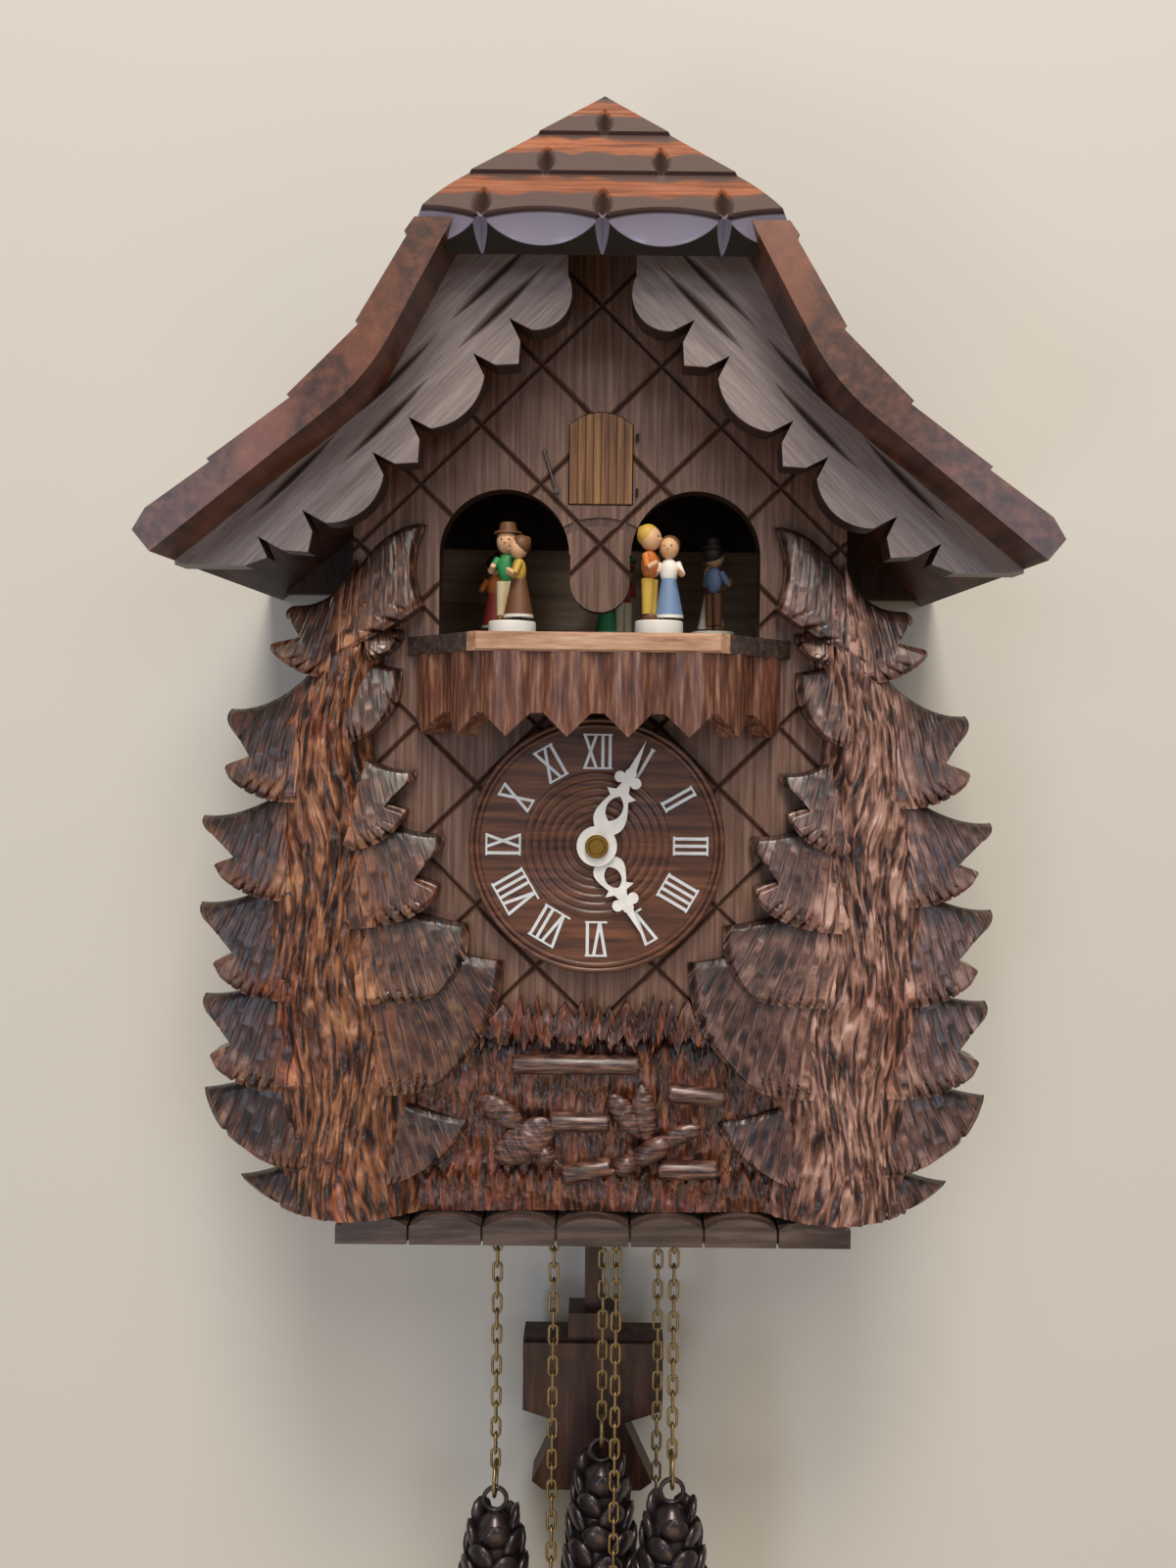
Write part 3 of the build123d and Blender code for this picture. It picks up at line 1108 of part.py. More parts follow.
guide_front = arm_front - ARM_REACH * 0.5
with BuildPart() as bird_guide:
    with Locations(mid(0, BACK_T, guide_front, arm_z)):
        Box(GUIDE_W, guide_front - BACK_T, 3 * ARM_T)
        Box(ARM_W + 2 * SEAT, guide_front, ARM_T + 2 * SEAT, mode=Mode.SUBTRACT)
    with Locations(mid(0, BACK_T, 2 * BACK_T, arm_z)):
        Box(GUIDE_W, BACK_T, 3 * ARM_T)
keep(bird_guide.part, "bird_guide")

# Turntable: disc with its gear and hub, dancing couples, bridge with the spindle, drive shaft
hub_r = 2 * SHAFT_R
with BuildPart() as carousel_disc:
    with Locations((0, -TURN_DEPTH, SILL_TOP - DISC_T / 2)):
        Cylinder(DISC_R, DISC_T)
    with BuildSketch(Plane.XY.offset(TURN_GEAR_Z)):
        with Locations((0, -TURN_DEPTH)):
            add(gear_outline(TURN_TEETH, TURN_MODULE))
    extrude(amount=WHEEL_T)
    with Locations((0, -TURN_DEPTH, SILL_TOP)):
        Cylinder(SHAFT_R + RUNNING_FIT, 4 * (DISC_T + WHEEL_T), mode=Mode.SUBTRACT)
keep(carousel_disc.part, "carousel_disc")


def dancer(x, depth, foot, height, lean):
    """Plain figure of a dancer on a plinth, for the mass and outline."""
    girth = height * 0.16
    with BuildPart() as figure:
        with Locations((x, -depth, foot + height * 0.22)):
            Cone(girth * 0.95, girth * 0.7, height * 0.44)
        with Locations((x, -depth, foot + height * 0.58)):
            Cone(girth * 0.7, girth * 0.85, height * 0.28)
        with Locations((x + lean, -depth, foot + height * 0.86)):
            Sphere(height * 0.15)
    return figure.part


with BuildPart() as dancers:
    for k in range(COUPLES):
        turn = radians(COUPLE_TURN + 360 * k / COUPLES)
        x = COUPLE_R * cos(turn)
        depth = TURN_DEPTH - COUPLE_R * sin(turn)
        with Locations((x, -depth, SILL_TOP + PLINTH_T / 2)):
            Cylinder(PLINTH_R, PLINTH_T)
        side = PLINTH_R * 0.45
        for sign, share in ((-1, 1.0), (1, 0.9)):
            dx = -sin(turn) * side * sign
            dy = cos(turn) * side * sign
            add(dancer(x + dx, depth - dy, SILL_TOP + PLINTH_T, DANCER_H * share, 0))
keep(dancers.part, "dancers")

with BuildPart() as carousel_bridge:
    with Locations(mid(0, TURN_DEPTH - BRIDGE_W / 2, PANEL_BACK, BRIDGE_TOP - BRIDGE_T / 2)):
        Box(2 * INNER_HALF, PANEL_BACK - TURN_DEPTH + BRIDGE_W / 2, BRIDGE_T)
    with Locations((0, -TURN_DEPTH, (BRIDGE_TOP + SILL_TOP) / 2)):
        Cylinder(SHAFT_R, SILL_TOP - BRIDGE_TOP)
    with Locations((0, -TURN_DEPTH, BRIDGE_TOP + WHEEL_GAP / 4)):
        Cylinder(hub_r, WHEEL_GAP / 2)
    with Locations(mid(TURN_STEP, TURN_DEPTH - 2 * SHAFT_R, PANEL_BACK, SHAFT_FOOT - BRIDGE_T / 2)):
        Box(4 * SHAFT_R, PANEL_BACK - TURN_DEPTH + 2 * SHAFT_R, BRIDGE_T)
    with Locations(at(TURN_STEP, TURN_DEPTH, BRIDGE_TOP), at(TURN_STEP, TURN_DEPTH, SHAFT_FOOT)):
        Cylinder(SHAFT_R + RUNNING_FIT, 4 * BRIDGE_T, mode=Mode.SUBTRACT)
keep(carousel_bridge.part, "carousel_bridge")

with BuildPart() as carousel_shaft:
    with BuildSketch(Plane.XY.offset(TURN_GEAR_Z)):
        with Locations((TURN_STEP, -TURN_DEPTH)):
            add(gear_outline(SHAFT_TEETH, TURN_MODULE, gap_at=180))
    extrude(amount=WHEEL_T)
    with Locations(at(TURN_STEP, TURN_DEPTH, (TURN_GEAR_Z + SHAFT_FOOT - BRIDGE_T) / 2)):
        Cylinder(SHAFT_R, TURN_GEAR_Z - SHAFT_FOOT + BRIDGE_T)
    with Locations(at(TURN_STEP, TURN_DEPTH, SHAFT_FOOT + SEAT + WHEEL_T / 2)):
        Cylinder(hub_r, WHEEL_T)
keep(carousel_shaft.part, "carousel_shaft")

# Board across the case behind the turntable, with a batten along it
with BuildPart() as stage_board:
    batten_back = STAGE_FRONT - BATTEN_T
    with Locations(mid(0, batten_back - STAGE_T, batten_back, (STAGE_TOP + STAGE_BOTTOM) / 2)):
        Box(2 * INNER_HALF, STAGE_T, STAGE_TOP - STAGE_BOTTOM)
    with Locations(mid(0, batten_back, STAGE_FRONT, (STAGE_TOP + STAGE_BOTTOM) / 2)):
        Box(2 * INNER_HALF, BATTEN_T, BATTEN_H)
keep(stage_board.part, "stage_board")

# Music: frame with comb, and the pinned cylinder
music_w = MUSIC_RIGHT - MUSIC_LEFT
music_x = (MUSIC_LEFT + MUSIC_RIGHT) / 2
cylinder_z = (MUSIC_TOP + FLOOR_TOP) / 2 + CYLINDER_R / 2
music_near = CYLINDER_DEPTH - CYLINDER_R - 2 * WHEEL_T
with BuildPart() as music_frame:
    with Locations(mid(music_x, music_near, PANEL_BACK, FLOOR_TOP + WHEEL_T / 2)):
        Box(music_w, PANEL_BACK - music_near, WHEEL_T)
    with Locations(*[mid(x, music_near, PANEL_BACK, (FLOOR_TOP + MUSIC_TOP) / 2)
                     for x in (MUSIC_LEFT + WHEEL_T / 2, MUSIC_RIGHT - WHEEL_T / 2)]):
        Box(WHEEL_T, PANEL_BACK - music_near, MUSIC_TOP - FLOOR_TOP)
    for near in (MUSIC_DEPTH - 4 * SPROCKET_T, MUSIC_DEPTH + 3 * SPROCKET_T):
        with Locations(mid(MUSIC_X, near, near + SPROCKET_T, (FLOOR_TOP + MUSIC_Z + 3 * SPINDLE_R) / 2)):
            Box(6 * SPINDLE_R, SPROCKET_T, MUSIC_Z + 3 * SPINDLE_R - FLOOR_TOP)
        with Locations(at(MUSIC_X, near, MUSIC_Z)):
            Cylinder(SPINDLE_R + RUNNING_FIT, 4 * SPROCKET_T, rotation=(90, 0, 0), mode=Mode.SUBTRACT)
    comb_z = cylinder_z - CYLINDER_R - 2 * SEAT - PLATE_T / 2
    with Locations(at(music_x, CYLINDER_DEPTH, comb_z)):
        Box(music_w, CYLINDER_R, PLATE_T)
    with Locations(at(music_x, CYLINDER_DEPTH, cylinder_z)):
        Cylinder(SPINDLE_R + RUNNING_FIT, 2 * music_w, rotation=(0, 90, 0), mode=Mode.SUBTRACT)
keep(music_frame.part, "music_frame")

with BuildPart() as music_cylinder:
    with Locations(at(music_x, CYLINDER_DEPTH, cylinder_z)):
        Cylinder(SPINDLE_R, music_w, rotation=(0, 90, 0))
        Cylinder(CYLINDER_R, music_w - 4 * WHEEL_T, rotation=(0, 90, 0))
keep(music_cylinder.part, "music_cylinder")

# Bellows on the side walls, each a folded box between two lids with a pipe below
with BuildPart() as bellows:
    for side in (-1, 1):
        x = side * (INNER_HALF - BELLOWS_W / 2)
        depth = (BACK_T + PANEL_BACK) / 2
        with Locations(at(x, depth, BELLOWS_TOP - BELLOWS_H / 2)):
            Box(BELLOWS_W, BELLOWS_D, BELLOWS_H)
        with Locations(at(x - side * LID_T / 2, depth, BELLOWS_TOP + LID_T / 2)):
            Box(BELLOWS_W + LID_T, BELLOWS_D + LID_T, LID_T)
keep(bellows.part, "bellows")

# Gong: a flat coil of half turns that widen from the post outwards
with BuildPart() as gong_coil:
    with BuildLine(facing(GONG_DEPTH)) as coil:
        x0 = GONG_INNER
        for k in range(2 * GONG_TURNS):
            sign = 1 if k % 2 == 0 else -1
            radius = GONG_INNER + k * GONG_STEP / 2
            x1 = x0 - 2 * sign * radius
            middle = ((x0 + x1) / 2, GONG_Z + sign * radius)
            ThreePointArc((x0, GONG_Z), middle, (x1, GONG_Z))
            x0 = x1
    with BuildSketch(Plane(origin=coil.line @ 0, z_dir=coil.line % 0)):
        Circle(GONG_WIRE / 2)
    sweep()
    with Locations(mid(GONG_INNER, BACK_T, GONG_DEPTH, GONG_Z - GONG_WIRE)):
        Box(2 * GONG_WIRE, GONG_DEPTH - BACK_T, 2 * GONG_WIRE)
keep(gong_coil.part, "gong_coil")
print("gong: least gap between turns", GONG_STEP - GONG_WIRE, "mm")


# Firs: an outline of boughs with one or two tips and a thicker trunk down the middle
def bough_edge(boughs, side):
    """Points down one side of the right-hand fir, side 1 for its outer and -1 for its inner side."""
    points = []
    rooted = False
    for tip_x, tip_z, low_x, low_z in boughs:
        run = Vector(low_x - tip_x, low_z - tip_z)
        two_tips = abs(run.X) < BOUGH_CUT < abs(run.Y) * 0.7
        if rooted:
            points.append((tip_x - side * BOUGH_ROOT, tip_z + BOUGH_RISE))
        points.append((tip_x, tip_z))
        if two_tips:
            points.append(((tip_x + low_x) / 2 - side * BOUGH_CUT, (tip_z + 2 * low_z) / 3))
        else:
            swell = Vector(-run.Y, run.X) * (side * BOUGH_BULGE)
            points.append(((tip_x + low_x) / 2 + swell.X, (tip_z + low_z) / 2 + swell.Y))
        points.append((low_x, low_z))
        rooted = two_tips
    return points


with BuildPart() as right_tree:
    with BuildSketch(facing(PANEL_FACE)):
        with BuildLine():
            foot = (INNER_BOUGHS[-1][2], CASE_BOTTOM)
            Polyline(*CROWN, *bough_edge(OUTER_BOUGHS, 1), foot, *reversed(bough_edge(INNER_BOUGHS, -1)),
                     close=True)
        make_face()
    extrude(amount=TREE_T)
    with BuildSketch(facing(PANEL_FACE)):
        with BuildLine():
            Polyline((TRUNK_X, TRUNK_TOP), (TRUNK_X + TRUNK_HALF, CASE_BOTTOM + BOUGH_ROOT),
                     (TRUNK_X + TRUNK_HALF, CASE_BOTTOM), (TRUNK_X - TRUNK_HALF, CASE_BOTTOM),
                     (TRUNK_X - TRUNK_HALF, CASE_BOTTOM + BOUGH_ROOT), close=True)
        make_face()
    extrude(amount=TRUNK_T)
    add(picket_valance.part, mode=Mode.SUBTRACT)
keep(right_tree.part, "right_tree")

with BuildPart() as left_tree:
    mirror(right_tree.part, about=Plane.YZ)
keep(left_tree.part, "left_tree")

# Meadow between the firs: tufts along its top, fence rails across it
with BuildPart() as meadow_relief:
    with BuildSketch(facing(PANEL_FACE)):
        with BuildLine():
            tops = []
            for k in range(TUFTS):
                x = MEADOW_HALF * (2 * k / TUFTS - 1)
                step = 2 * MEADOW_HALF / TUFTS
                tops += [(x, MEADOW_TOP - TUFT_H), (x + step / 2, MEADOW_TOP)]
            Polyline(*tops, (MEADOW_HALF, MEADOW_TOP - TUFT_H), (MEADOW_HALF, CASE_BOTTOM),
                     (-MEADOW_HALF, CASE_BOTTOM), close=True)
        make_face()
    extrude(amount=MEADOW_T)
    for x, z, length in RAILS:
        with Locations(at(x, PANEL_FACE + MEADOW_T, z)):
            Cylinder(RAIL_R, length, rotation=(0, 90, 0))
    with Locations(mid(0, 0, PANEL_FACE, MEADOW_TOP)):
        Box(2 * CASE_HALF, PANEL_FACE, -2 * MEADOW_TOP, mode=Mode.SUBTRACT)
    add([left_tree.part, right_tree.part], mode=Mode.SUBTRACT)
meadow_solid = meadow_relief.part.solids().sort_by(SortBy.VOLUME)[-1]
keep(Part([meadow_solid]), "meadow_relief")

# Two carved birds on the meadow, one with a fanned tail and one with raised wings
with BuildPart() as carved_birds:
    for x, z, tail, wing in FINCHES:
        with BuildSketch(facing(PANEL_FACE + MEADOW_T)):
            with Locations(Location((x, z), tail + 180)):
                Ellipse(FINCH_HALF, FINCH_GIRTH)
            with Locations(Location((x, z), tail)):
                Polygon((0, -FINCH_GIRTH / 2), (FINCH_TAIL, -1.4 * FINCH_GIRTH),
                        (FINCH_TAIL, 1.4 * FINCH_GIRTH), (0, FINCH_GIRTH / 2), align=None)
            for spread in (-18, 12):
                with Locations(Location((x, z), wing + spread)):
                    with Locations((FINCH_HALF, 0)):
                        Ellipse(FINCH_HALF, FINCH_GIRTH)
        extrude(amount=4 * RIM_BEAD)
    add(meadow_relief.part, mode=Mode.SUBTRACT)
keep(carved_birds.part, "carved_birds")

# Base trim: blocks with arched tops under the case's front edge
trim_pitch = 2 * TRIM_HALF / TRIM_BLOCKS
with BuildPart() as base_trim:
    with BuildSketch(facing(PANEL_BACK - WALL_T)):
        for k in range(TRIM_BLOCKS):
            x = (k - (TRIM_BLOCKS - 1) / 2) * trim_pitch
            half = (trim_pitch - TRIM_GAP) / 2
            with BuildLine():
                Polyline((x - half, CASE_BOTTOM - TRIM_ARCH), (x - half, CASE_BOTTOM - TRIM_H),
                         (x + half, CASE_BOTTOM - TRIM_H), (x + half, CASE_BOTTOM - TRIM_ARCH))
                ThreePointArc((x - half, CASE_BOTTOM - TRIM_ARCH), (x, CASE_BOTTOM),
                              (x + half, CASE_BOTTOM - TRIM_ARCH))
            make_face()
    extrude(amount=TRIM_FACE - PANEL_BACK + WALL_T)
    with Locations(mid(0, PANEL_BACK - WALL_T, TRIM_FACE - TRIM_ARCH, CASE_BOTTOM - TRIM_H + TRIM_ARCH / 2)):
        Box(2 * TRIM_HALF - TRIM_GAP, TRIM_FACE - TRIM_ARCH - PANEL_BACK + WALL_T, TRIM_ARCH)
keep(base_trim.part, "base_trim")
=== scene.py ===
import math

import bmesh
import bpy
from mathutils import Matrix, Vector


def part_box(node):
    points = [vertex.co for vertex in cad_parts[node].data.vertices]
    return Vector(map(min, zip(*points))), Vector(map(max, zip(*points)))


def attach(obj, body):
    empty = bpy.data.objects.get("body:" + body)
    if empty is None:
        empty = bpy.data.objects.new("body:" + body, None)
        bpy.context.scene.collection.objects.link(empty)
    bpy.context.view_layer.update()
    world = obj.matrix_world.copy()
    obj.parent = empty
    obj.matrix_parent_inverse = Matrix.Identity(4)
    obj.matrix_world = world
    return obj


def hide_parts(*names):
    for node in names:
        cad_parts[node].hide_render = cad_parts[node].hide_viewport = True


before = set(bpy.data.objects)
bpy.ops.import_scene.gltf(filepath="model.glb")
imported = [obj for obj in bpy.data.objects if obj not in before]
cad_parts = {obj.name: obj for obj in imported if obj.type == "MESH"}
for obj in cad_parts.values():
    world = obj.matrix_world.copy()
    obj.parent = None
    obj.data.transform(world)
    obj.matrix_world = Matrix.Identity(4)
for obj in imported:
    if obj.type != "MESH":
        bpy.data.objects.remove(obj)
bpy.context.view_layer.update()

bl_info = {
    "name": "Chalet cuckoo clock",
    "version": (1, 0, 0),
    "blender": (4, 5, 0),
    "location": "View3D > Sidebar > Clock",
    "description": "Carvings, figures, finishes and stage for a chalet cuckoo clock",
    "category": "Object",
}

# Sizes in millimetres, with X to the right, depth outwards from the wall and Z up from the hanger hole.
# A box in the frame is its low and its high corner in metres, with Y into the wall
MM = 0.001                                              # metres in a millimetre
PANEL_FACE = -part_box("front_panel")[0].y / MM           # depth of the front panel's face
VERGE_FACE = -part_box("verge_left")[0].y / MM            # depth of the verge boards' face
CARVING_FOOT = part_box("meadow_relief")[0].z / MM + 0.1  # lower edge of the carvings
SILL_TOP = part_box("balcony_sill")[1].z / MM             # top of the balcony sill and the turntable
TURN_DEPTH = -sum(corner.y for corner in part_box("carousel_disc")) / 2 / MM  # depth of the turntable's axis
DIAL_Z = sum(corner.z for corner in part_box("dial")) / 2 / MM                # height of the dial's middle
HIP_UP = Vector((0.0, 0.658, 0.753))    # way up the slope of the hip board
HIP_FOOT = (0.0, 138.0, 23.0)           # middle of the hip board's lower edge
HIP_COURSE = 27.9                       # length of a course of shingles on the hip board
SHINGLE_STEP = 1.2                      # thickness of a course at its lower end

# Sockets of a node that mixes two colours
FACTOR, UNDER, OVER, MIXED = 0, 6, 7, 2


# Small helpers

def linear(code):
    """Linear colour of an sRGB hex code."""
    parts = [int(code[i:i + 2], 16) / 255 for i in (1, 3, 5)]
    return [p / 12.92 if p <= 0.04045 else ((p + 0.055) / 1.055) ** 2.4 for p in parts] + [1.0]


def part_of(value):
    """What is left of a number after its whole part."""
    return value - math.floor(value)


def chance(*seeds):
    """Number from 0 to 1 that depends only on the seeds."""
    spread = (12.9898, 78.233, 37.719, 9.151)
    return part_of(math.sin(sum(s * k for s, k in zip(seeds, spread))) * 43758.5453)


def at(x, depth, z):
    """Point in metres from millimetres, with the depth counted outwards from the wall."""
    return Vector((x * MM, -depth * MM, z * MM))


def blend_to(a, b, share):
    """Number that lies the given share of the way from a to b."""
    return a + (b - a) * share


def ease(low, high, value):
    """Smooth step from 0 at low to 1 at high."""
    t = min(1.0, max(0.0, (value - low) / (high - low)))
    return t * t * (3 - 2 * t)


def curve_point(a, b, c, t):
    """Point on the bend from a to c that is drawn towards b."""
    return [(1 - t) ** 2 * p + 2 * t * (1 - t) * q + t * t * r for p, q, r in zip(a, b, c)]


def sharp_edges(verts):
    """Edges of new vertices at which two faces meet in a corner."""
    edges = {edge for vert in verts for edge in vert.link_edges}
    return [edge for edge in edges if len(edge.link_faces) == 2 and edge.calc_face_angle(0) > 1.0]


def finish_mesh(name, bm, material, body, replaced=None, angle=40.0):
    """Turn a bmesh into a shown piece that rides on a body and may stand for a CAD node.

    Edges sharper than angle degrees stay sharp."""
    bmesh.ops.recalc_face_normals(bm, faces=bm.faces)
    mesh = bpy.data.meshes.new(name)
    bm.to_mesh(mesh)
    bm.free()
    mesh.materials.append(material)
    for polygon in mesh.polygons:
        polygon.use_smooth = True
    mesh.set_sharp_from_angle(angle=math.radians(angle))
    piece = bpy.data.objects.new(name, mesh)
    bpy.context.scene.collection.objects.link(piece)
    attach(piece, body)
    if replaced:
        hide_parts(replaced)
    return piece


# Materials

def set_inputs(tree, node, inputs):
    """Link sockets to a node's inputs and set its constants, where a text is a hex colour."""
    for key, value in inputs.items():
        if isinstance(value, bpy.types.NodeSocket):
            tree.links.new(value, node.inputs[key])
        else:
            node.inputs[key].default_value = linear(value) if isinstance(value, str) else value


def add_node(tree, kind, output, inputs=None, stops=(), **settings):
    """Add a shader node with its settings and inputs and return one of its outputs.

    stops are the places and hex colours of a colour ramp."""
    node = tree.nodes.new("ShaderNode" + kind)
    for key, value in settings.items():
        setattr(node, key, value)
    set_inputs(tree, node, inputs or {})
    for k, (place, code) in enumerate(stops):
        band = node.color_ramp.elements
        element = band[k] if k < len(band) else band.new(1.0)
        element.position = place
        element.color = linear(code)
    return node.outputs[output]


def new_material(name):
    """Material with a principled shader; returns the material, its tree and the shader."""
    material = bpy.data.materials.new(name)
    material.use_nodes = True
    tree = material.node_tree
    return material, tree, tree.nodes["Principled BSDF"]


def place_of(tree, scale=(1, 1, 1), turn=0.0):
    """Object coordinates, turned about Y by turn degrees and then stretched by scale."""
    coords = add_node(tree, "TexCoord", "Object")
    turned = add_node(tree, "Mapping", "Vector",
                      {"Vector": coords, "Rotation": (0.0, math.radians(turn), 0.0)})
    return add_node(tree, "Mapping", "Vector", {"Vector": turned, "Scale": scale})


def wood(name, dark, middle, light, grain, roughness, coat=0.0, turn=0.0, groove=None, patches=None,
         bands=None):
    """Stained wood whose fibres run along the axis that grain stretches least, after a turn about Y.

    grain counts the fibres in a metre along each axis. They are about 1 to 4 mm wide, coarser than real
    pores, so that they show in the render. groove gives two depths in millimetres and the colour that shows
    from the second one inwards as painted shade in the recess, patches a warmer colour in soft areas, and
    bands a darker colour with a wavy edge at both ends of every course: the way up the slope, the length of
    a course in millimetres and the colour."""
    material, tree, shader = new_material(name)
    fibres = add_node(tree, "TexNoise", "Fac", {"Vector": place_of(tree, grain, turn), "Scale": 1.0,
                                                "Detail": 6.0, "Roughness": 0.62})
    broad = add_node(tree, "TexNoise", "Fac",
                     {"Vector": place_of(tree, [0.16 * g for g in grain], turn), "Scale": 1.0,
                      "Detail": 3.0})
    colour = add_node(tree, "ValToRGB", "Color", {"Fac": fibres},
                      stops=((0.32, dark), (0.5, middle), (0.7, light)))
    tone = add_node(tree, "ValToRGB", "Color", {"Fac": broad}, stops=((0.3, "#c4beba"), (0.7, "#ffffff")))
    colour = add_node(tree, "Mix", MIXED, {FACTOR: 0.6, UNDER: colour, OVER: tone},
                      data_type="RGBA", blend_type="MULTIPLY")
    if patches:
        spots = add_node(tree, "TexNoise", "Fac",
                         {"Vector": place_of(tree, (38, 38, 26)), "Scale": 1.0, "Detail": 2.0})
        area = add_node(tree, "MapRange", "Result", {"Value": spots, "From Min": 0.50, "From Max": 0.68})
        warm = add_node(tree, "Mix", MIXED, {FACTOR: 0.55, UNDER: colour, OVER: patches}, data_type="RGBA")
        colour = add_node(tree, "Mix", MIXED, {FACTOR: area, UNDER: colour, OVER: warm}, data_type="RGBA")
    # A darker colour with a wavy edge at both ends of every course
    if bands:
        way, course, stain = bands
        coords = add_node(tree, "TexCoord", "Object")
        slope = add_node(tree, "VectorMath", "Value", {0: coords, 1: way / (course * MM)},
                         operation="DOT_PRODUCT")
        wave = add_node(tree, "TexNoise", "Fac",
                        {"Vector": place_of(tree, (75, 8, 8)), "Scale": 1.0, "Detail": 1.5})
        drift = add_node(tree, "Math", "Value", {0: wave, 1: 0.42, 2: slope}, operation="MULTIPLY_ADD")
        share = add_node(tree, "Math", "Value", {0: drift}, operation="FRACT")
        ends = add_node(tree, "ValToRGB", "Color", {"Fac": share},
                        stops=((0.02, "#ffffff"), (0.09, "#000000"), (0.40, "#000000"), (0.50, "#ffffff")))
        colour = add_node(tree, "Mix", MIXED, {FACTOR: ends, UNDER: colour, OVER: stain}, data_type="RGBA")
    # Painted shade: the colour fills the recesses from the second depth inwards
    if groove:
        face, floor, stain = groove
        coords = add_node(tree, "TexCoord", "Object")
        inwards = add_node(tree, "SeparateXYZ", "Y", {"Vector": coords})
        sunk = add_node(tree, "MapRange", "Result",
                        {"Value": inwards, "From Min": -face * MM, "From Max": -floor * MM})
        colour = add_node(tree, "Mix", MIXED, {FACTOR: sunk, UNDER: colour, OVER: stain}, data_type="RGBA")
    sheen = add_node(tree, "MapRange", "Result",
                     {"Value": fibres, "To Min": roughness + 0.1, "To Max": roughness - 0.06})
    relief = add_node(tree, "Bump", "Normal", {"Height": fibres, "Strength": 0.12, "Distance": 0.6 * MM})
    set_inputs(tree, shader, {"Base Color": colour, "Roughness": sheen, "Normal": relief,
                              "Coat Weight": coat, "Coat Roughness": 0.14})
    return material


def hollow_rim(material, way, foot, course, step):
    """Paint shade into the cuts and onto the lower end face of a board laid in courses, and give the hollows
    along its rim a paler mauve-grey, partly worn lacquer and partly painted sheen, and a glossy coat.

    way runs up the slope from the point foot, course is the length of a course and step its thickness at
    the lower end, in millimetres."""
    tree = material.node_tree
    shader = tree.nodes["Principled BSDF"]
    colour = shader.inputs["Base Color"].links[0].from_socket
    coords = add_node(tree, "TexCoord", "Object")
    place = add_node(tree, "VectorMath", "Vector", {0: coords, 1: at(*foot)}, operation="SUBTRACT")
    up = add_node(tree, "VectorMath", "Value", {0: place, 1: way}, operation="DOT_PRODUCT")
    out = add_node(tree, "VectorMath", "Value", {0: place, 1: (0.0, -way.z, way.y)},
                   operation="DOT_PRODUCT")
    part = add_node(tree, "Math", "Value", {0: up, 1: course * MM}, operation="DIVIDE")
    share = add_node(tree, "Math", "Value", {0: part}, operation="FRACT")
    top = add_node(tree, "MapRange", "Result", {"Value": share, "To Min": step * MM, "To Max": 0.0})
    below = add_node(tree, "Math", "Value", {0: top, 1: out}, operation="SUBTRACT")
    cut, hollow, end, low = [
        add_node(tree, "MapRange", "Result",
                 {"Value": socket, "From Min": none * MM, "From Max": full * MM})
        for socket, none, full in ((below, 0.3, 1.0), (out, -0.4, -0.9), (up, 0.3, 0.1), (up, 5.2, 4.8))]
    rim = add_node(tree, "Math", "Value", {0: hollow, 1: low}, operation="MULTIPLY")
    # Painted shade in the cuts, a paler mauve-grey in the rim's hollows that is partly worn lacquer and
    # partly painted sheen, and painted shade on the lower end face
    for mask, stain in ((cut, "#33201a"), (rim, "#8b8493"), (end, "#1d1411")):
        colour = add_node(tree, "Mix", MIXED, {FACTOR: mask, UNDER: colour, OVER: stain}, data_type="RGBA")
    polish = add_node(tree, "Math", "Value", {0: rim, 1: end}, operation="SUBTRACT", use_clamp=True)
    set_inputs(tree, shader, {"Base Color": colour, "Coat Weight": polish, "Specular IOR Level": 0.3})


def plain(name, colour, roughness, metallic=0.0, coat=0.0, uneven=0.32, count=300.0):
    """Painted or metal surface whose tone varies by uneven, with count spots to a metre."""
    material, tree, shader = new_material(name)
    spots = add_node(tree, "TexNoise", "Fac", {"Vector": place_of(tree), "Scale": count, "Detail": 3.0})
    tone = add_node(tree, "ValToRGB", "Color", {"Fac": spots}, stops=((0.3, "#bcbcbc"), (0.7, "#ffffff")))
    colour = add_node(tree, "Mix", MIXED, {FACTOR: uneven, UNDER: colour, OVER: tone},
                      data_type="RGBA", blend_type="MULTIPLY")
    set_inputs(tree, shader, {"Base Color": colour, "Roughness": roughness, "Metallic": metallic,
                              "Coat Weight": coat})
    return material


